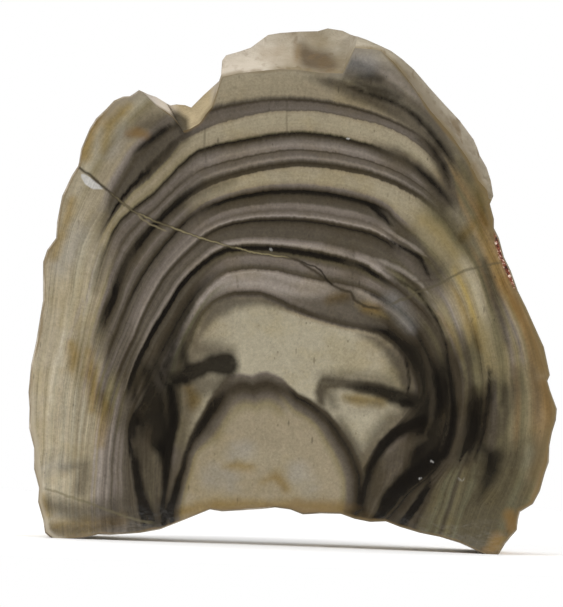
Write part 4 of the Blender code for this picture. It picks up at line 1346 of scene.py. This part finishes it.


# %% [markdown]
# ## Broken flint and rind
# The broken edge is dull and pale, with rust in its cracks; its pale tones are partly its own colour and
# partly painted sheen. The rind is chalky and pitted; where a flake came off, the darker flint shows, with
# ripples that spread from the blow. One number, the depth inside a scar, parts them.
# %% The broken edge
def broken_finish():
    """Pale dull flint, whiter at the left, with brown runs, a brown seam by the face and a rough grain.

    The pale tones and the whiter left are partly painted sheen, the facet at the top left carries a painted
    highlight, and the notch beside it is darkened partly by painted shade.
    """
    graph = Graph("broken_flint")
    place = graph.place()
    cloud = graph.noise(place, 90, 4, 0.6)
    around = graph.kept("around")
    # painted sheen: the specular is kept low, so these pale tones stand partly for the sheen of the break
    colour = graph.ramp(cloud, [(0.30, linear(124, 113, 92)), (0.45, linear(146, 137, 118)),
                                (0.62, linear(166, 157, 140)), (0.78, linear(142, 132, 112))])
    # whiter at the left: whitish flint and painted sheen
    white = around.rise(84, 94) * graph.noise(place, 70, 3).rise(0.2, 0.5)
    colour = graph.blend(colour, linear(192, 181, 166), white * 0.75)
    notch = around.rise(96.5, 98.5) * around.rise(104, 102)
    colour = graph.blend(colour, linear(168, 150, 112), notch * 0.8)
    brown = around.rise(90, 87) * around.rise(79, 82) * graph.noise(place, 60, 3).rise(0.35, 0.6)
    colour = graph.blend(colour, linear(124, 108, 80), brown * 0.7)
    blotch = (graph.kept("dim") + (cloud - 0.5) * 14).rise(-8, 7)
    colour = graph.blend(colour, linear(82, 68, 48), blotch * 0.95)
    # painted highlight on the facet at the top left that faces up, over its own lighter grey
    facet_tone_and_highlight = around.rise(104, 106) * around.rise(110, 108)
    colour = graph.blend(colour, linear(160, 152, 144), facet_tone_and_highlight * 0.7)
    strip = around.rise(76, 70)
    speckle = graph.noise(place, 420, 4, 0.7).rise(0.3, 0.7)
    colour = graph.blend(colour, linear(122, 112, 94), strip * (speckle * 0.4 + 0.5))
    worn = strip * graph.noise(place, 260, 3).rise(0.5, 0.66)
    colour = graph.blend(colour, linear(100, 88, 70), worn * 0.6)
    outer = graph.kept("edge").rise(8, 16) * strip
    colour = graph.blend(colour, linear(172, 164, 148), outer * 0.42)
    runs = graph.noise(graph.tall(0.15), 320, 3).rise(0.56, 0.70)
    colour = graph.blend(colour, linear(98, 80, 54), runs * (0.6 - white * 0.4))
    ochre = graph.noise(place, 55, 3).rise(0.58, 0.72).most(graph.kept("ochre").rise(-4, 5))
    colour = graph.blend(colour, linear(112, 88, 48), ochre * (0.5 - white * 0.3))
    # the notch at the top left: its dark olive flint, and partly painted shade in the notch
    notch_shade_and_dark_flint = (graph.kept("shade") + cloud * 4).rise(-4, 4)
    colour = graph.blend(colour, linear(46, 38, 20), notch_shade_and_dark_flint * 0.9)
    seam = graph.kept("edge").rise(5, 0.5) * graph.noise(place, 150, 3).rise(0.35, 0.55)
    colour = graph.blend(colour, linear(112, 98, 70), seam * 0.7)
    height = graph.noise(place, 420, 5, 0.65) + graph.noise(place, 1400, 3) * 0.35
    values = {"Base Color": colour, "Roughness": cloud * 0.2 + 0.5, "Specular IOR Level": 0.12}
    return graph.dress(values, 0.5, 0.0008, height)


print("the broken edge is", round(float(BREAK_DEPTH.max()) * 1000, 1), "mm deep at most")


# %% The rind and its scars
def rind_colour(graph, place):
    """Chalky cream to tan, stained ochre in clouds and dark in its pits."""
    cloud = graph.noise(place, 45, 5, 0.6)
    colour = graph.ramp(cloud, [(0.28, linear(128, 104, 70)), (0.42, linear(164, 144, 108)),
                                (0.55, linear(190, 176, 146)), (0.70, linear(206, 196, 172)),
                                (0.85, linear(182, 164, 130))])
    stain = graph.noise(place, 28, 4, 0.65).rise(0.56, 0.68)
    colour = graph.blend(colour, linear(160, 112, 52), stain * 0.65)
    pits = graph.cells(place, 260).rise(0.30, 0.12) * graph.noise(place, 90, 2).rise(0.45, 0.6)
    return graph.blend(colour, linear(84, 68, 48), pits * 0.7), pits


def scar_colour(graph, place):
    """Grey-brown flint with broad soft bands, which run through the stone behind those of the face."""
    band = graph.kept("band") + (graph.noise(place, 24, 4) - 0.5) * 150
    lines = graph.noise(graph.vector(band * 0.022, 0.0), 1.0, 4, 0.5)
    colour = graph.ramp(lines, [(0.30, linear(70, 62, 50)), (0.45, linear(94, 85, 71)),
                                (0.55, linear(114, 104, 87)), (0.66, linear(98, 90, 78)),
                                (0.78, linear(130, 120, 100))])
    return graph.tint(colour, 1 + (graph.noise(place, 60, 5, 0.65) - 0.5) * 0.8)


def rind_finish():
    """Chalky rind and satin scars, parted by a crisp but ragged line."""
    graph = Graph("rough_rind")
    place = graph.place()
    rind, pits = rind_colour(graph, place)
    ragged = (graph.noise(place, 240, 3) - 0.5) * 1.6
    scar = (graph.kept("scar") + ragged).rise(0.0, 0.4)
    colour = graph.blend(rind, scar_colour(graph, place), scar)
    colour = graph.tint(colour, 1 + (graph.noise(place, 1300, 2) - 0.5) * 0.3)
    colour = crusted(graph, colour)
    phase = graph.kept("ripple") * 1.7 + graph.noise(place, 80, 2) * 5
    ripples = phase.maths("SINE", phase)
    rough = graph.noise(place, 330, 6, 0.7) + graph.noise(place, 1200, 3) * 0.3 - pits * 0.5
    height = rough * (1 - scar * 0.85) + ripples * scar * 0.22
    return graph.dress({"Base Color": colour, "Roughness": 0.88 - scar * 0.40}, 0.8, 0.0009, height)


for finish in (polished_finish(), broken_finish(), rind_finish()):
    STONE.data.materials.append(finish)
    print(finish.name, "nodes:", len(finish.node_tree.nodes))

# %% [markdown]
# ## Floor, light and camera
# The stone stands on a plain pale floor in soft studio light. The camera looks straight at the face from
# two metres, turned by the two degrees that the stone was levelled by, so the face fills the frame as in
# the photograph.
# %% Floor
def build_floor():
    """A sheet at the height of zero, short in front so that the polish doesn't mirror it."""
    mesh = bpy.data.meshes.new("floor")
    half, front = 0.45, -0.16
    corners = [(-half, front, 0), (half, front, 0), (half, half, 0), (-half, half, 0)]
    mesh.from_pydata(corners, [], [(0, 1, 2, 3)])
    floor = bpy.data.objects.new("floor", mesh)
    bpy.context.scene.collection.objects.link(floor)
    paint = {"Base Color": (0.86, 0.86, 0.86, 1), "Roughness": 0.9}
    mesh.materials.append(Graph("floor_paint").dress(paint))
    return floor


FLOOR = build_floor()
print("floor width in m:", FLOOR.dimensions[0])


# %% Lights and the room
def add_light(name, place, aim, size, watts):
    """A square soft light at a place, turned to its aim."""
    light = bpy.data.lights.new(name, "AREA")
    light.size = size
    light.energy = watts
    lamp = bpy.data.objects.new(name, light)
    bpy.context.scene.collection.objects.link(lamp)
    lamp.location = place
    way = Matrix.Translation(aim).translation - lamp.location
    lamp.rotation_euler = way.to_track_quat("-Z", "Y").to_euler()
    return lamp


add_light("window_left", (-0.75, -0.75, 0.75), (0, 0, 0.06), 0.5, 10.95)
add_light("window_right", (0.8, -0.6, 0.5), (0, 0, 0.06), 0.5, 7.2)
add_light("ceiling", (0, 0.1, 1.2), (0, 0, 0), 0.9, 5.5)


def build_room():
    """White behind and above the stone, dim in front so that the polish mirrors no glare; seen white."""
    world = bpy.data.worlds.new("room")
    bpy.context.scene.world = world
    world.use_nodes = True
    tree = world.node_tree
    direction = tree.nodes.new("ShaderNodeTexCoord").outputs["Generated"]
    parts = tree.nodes.new("ShaderNodeSeparateXYZ")
    tree.links.new(direction, parts.inputs[0])
    ramp = tree.nodes.new("ShaderNodeMapRange")
    for index, value in enumerate((0.0, -0.5, 0.35, 0.05, 1.0)):
        ramp.inputs[index].default_value = value
    tree.links.new(parts.outputs["Y"], ramp.inputs[0])
    brighter = tree.nodes.new("ShaderNodeMath")
    brighter.operation = "MAXIMUM"
    tree.links.new(ramp.outputs[0], brighter.inputs[0])
    tree.links.new(tree.nodes.new("ShaderNodeLightPath").outputs["Is Camera Ray"], brighter.inputs[1])
    tree.links.new(brighter.outputs[0], tree.nodes["Background"].inputs["Strength"])
    tree.nodes["Background"].inputs["Color"].default_value = (1, 1, 1, 1)


build_room()
bpy.context.scene.view_settings.view_transform = "Standard"

# %% Camera
PHOTO_SIZE = (563, 607)
CAMERA_DISTANCE = 2.0
aim = levelled((0.5 * PHOTO_SIZE[0], 0.5 * PHOTO_SIZE[1])) + [SHIFT[0], 0]
camera_data = bpy.data.cameras.new("camera")
camera_data.sensor_width = 36
camera_data.lens = 36 * CAMERA_DISTANCE / (max(PHOTO_SIZE) * SCALE)
camera = bpy.data.objects.new("camera", camera_data)
bpy.context.scene.collection.objects.link(camera)
stand = Matrix.Translation((aim[0], LOW[1] - CAMERA_DISTANCE, aim[1]))
camera.matrix_world = stand @ Matrix.Rotation(math.radians(90), 4, "X") @ Matrix.Rotation(TURN, 4, "Z")
bpy.context.scene.camera = camera
print("lens in mm:", round(camera_data.lens, 1))
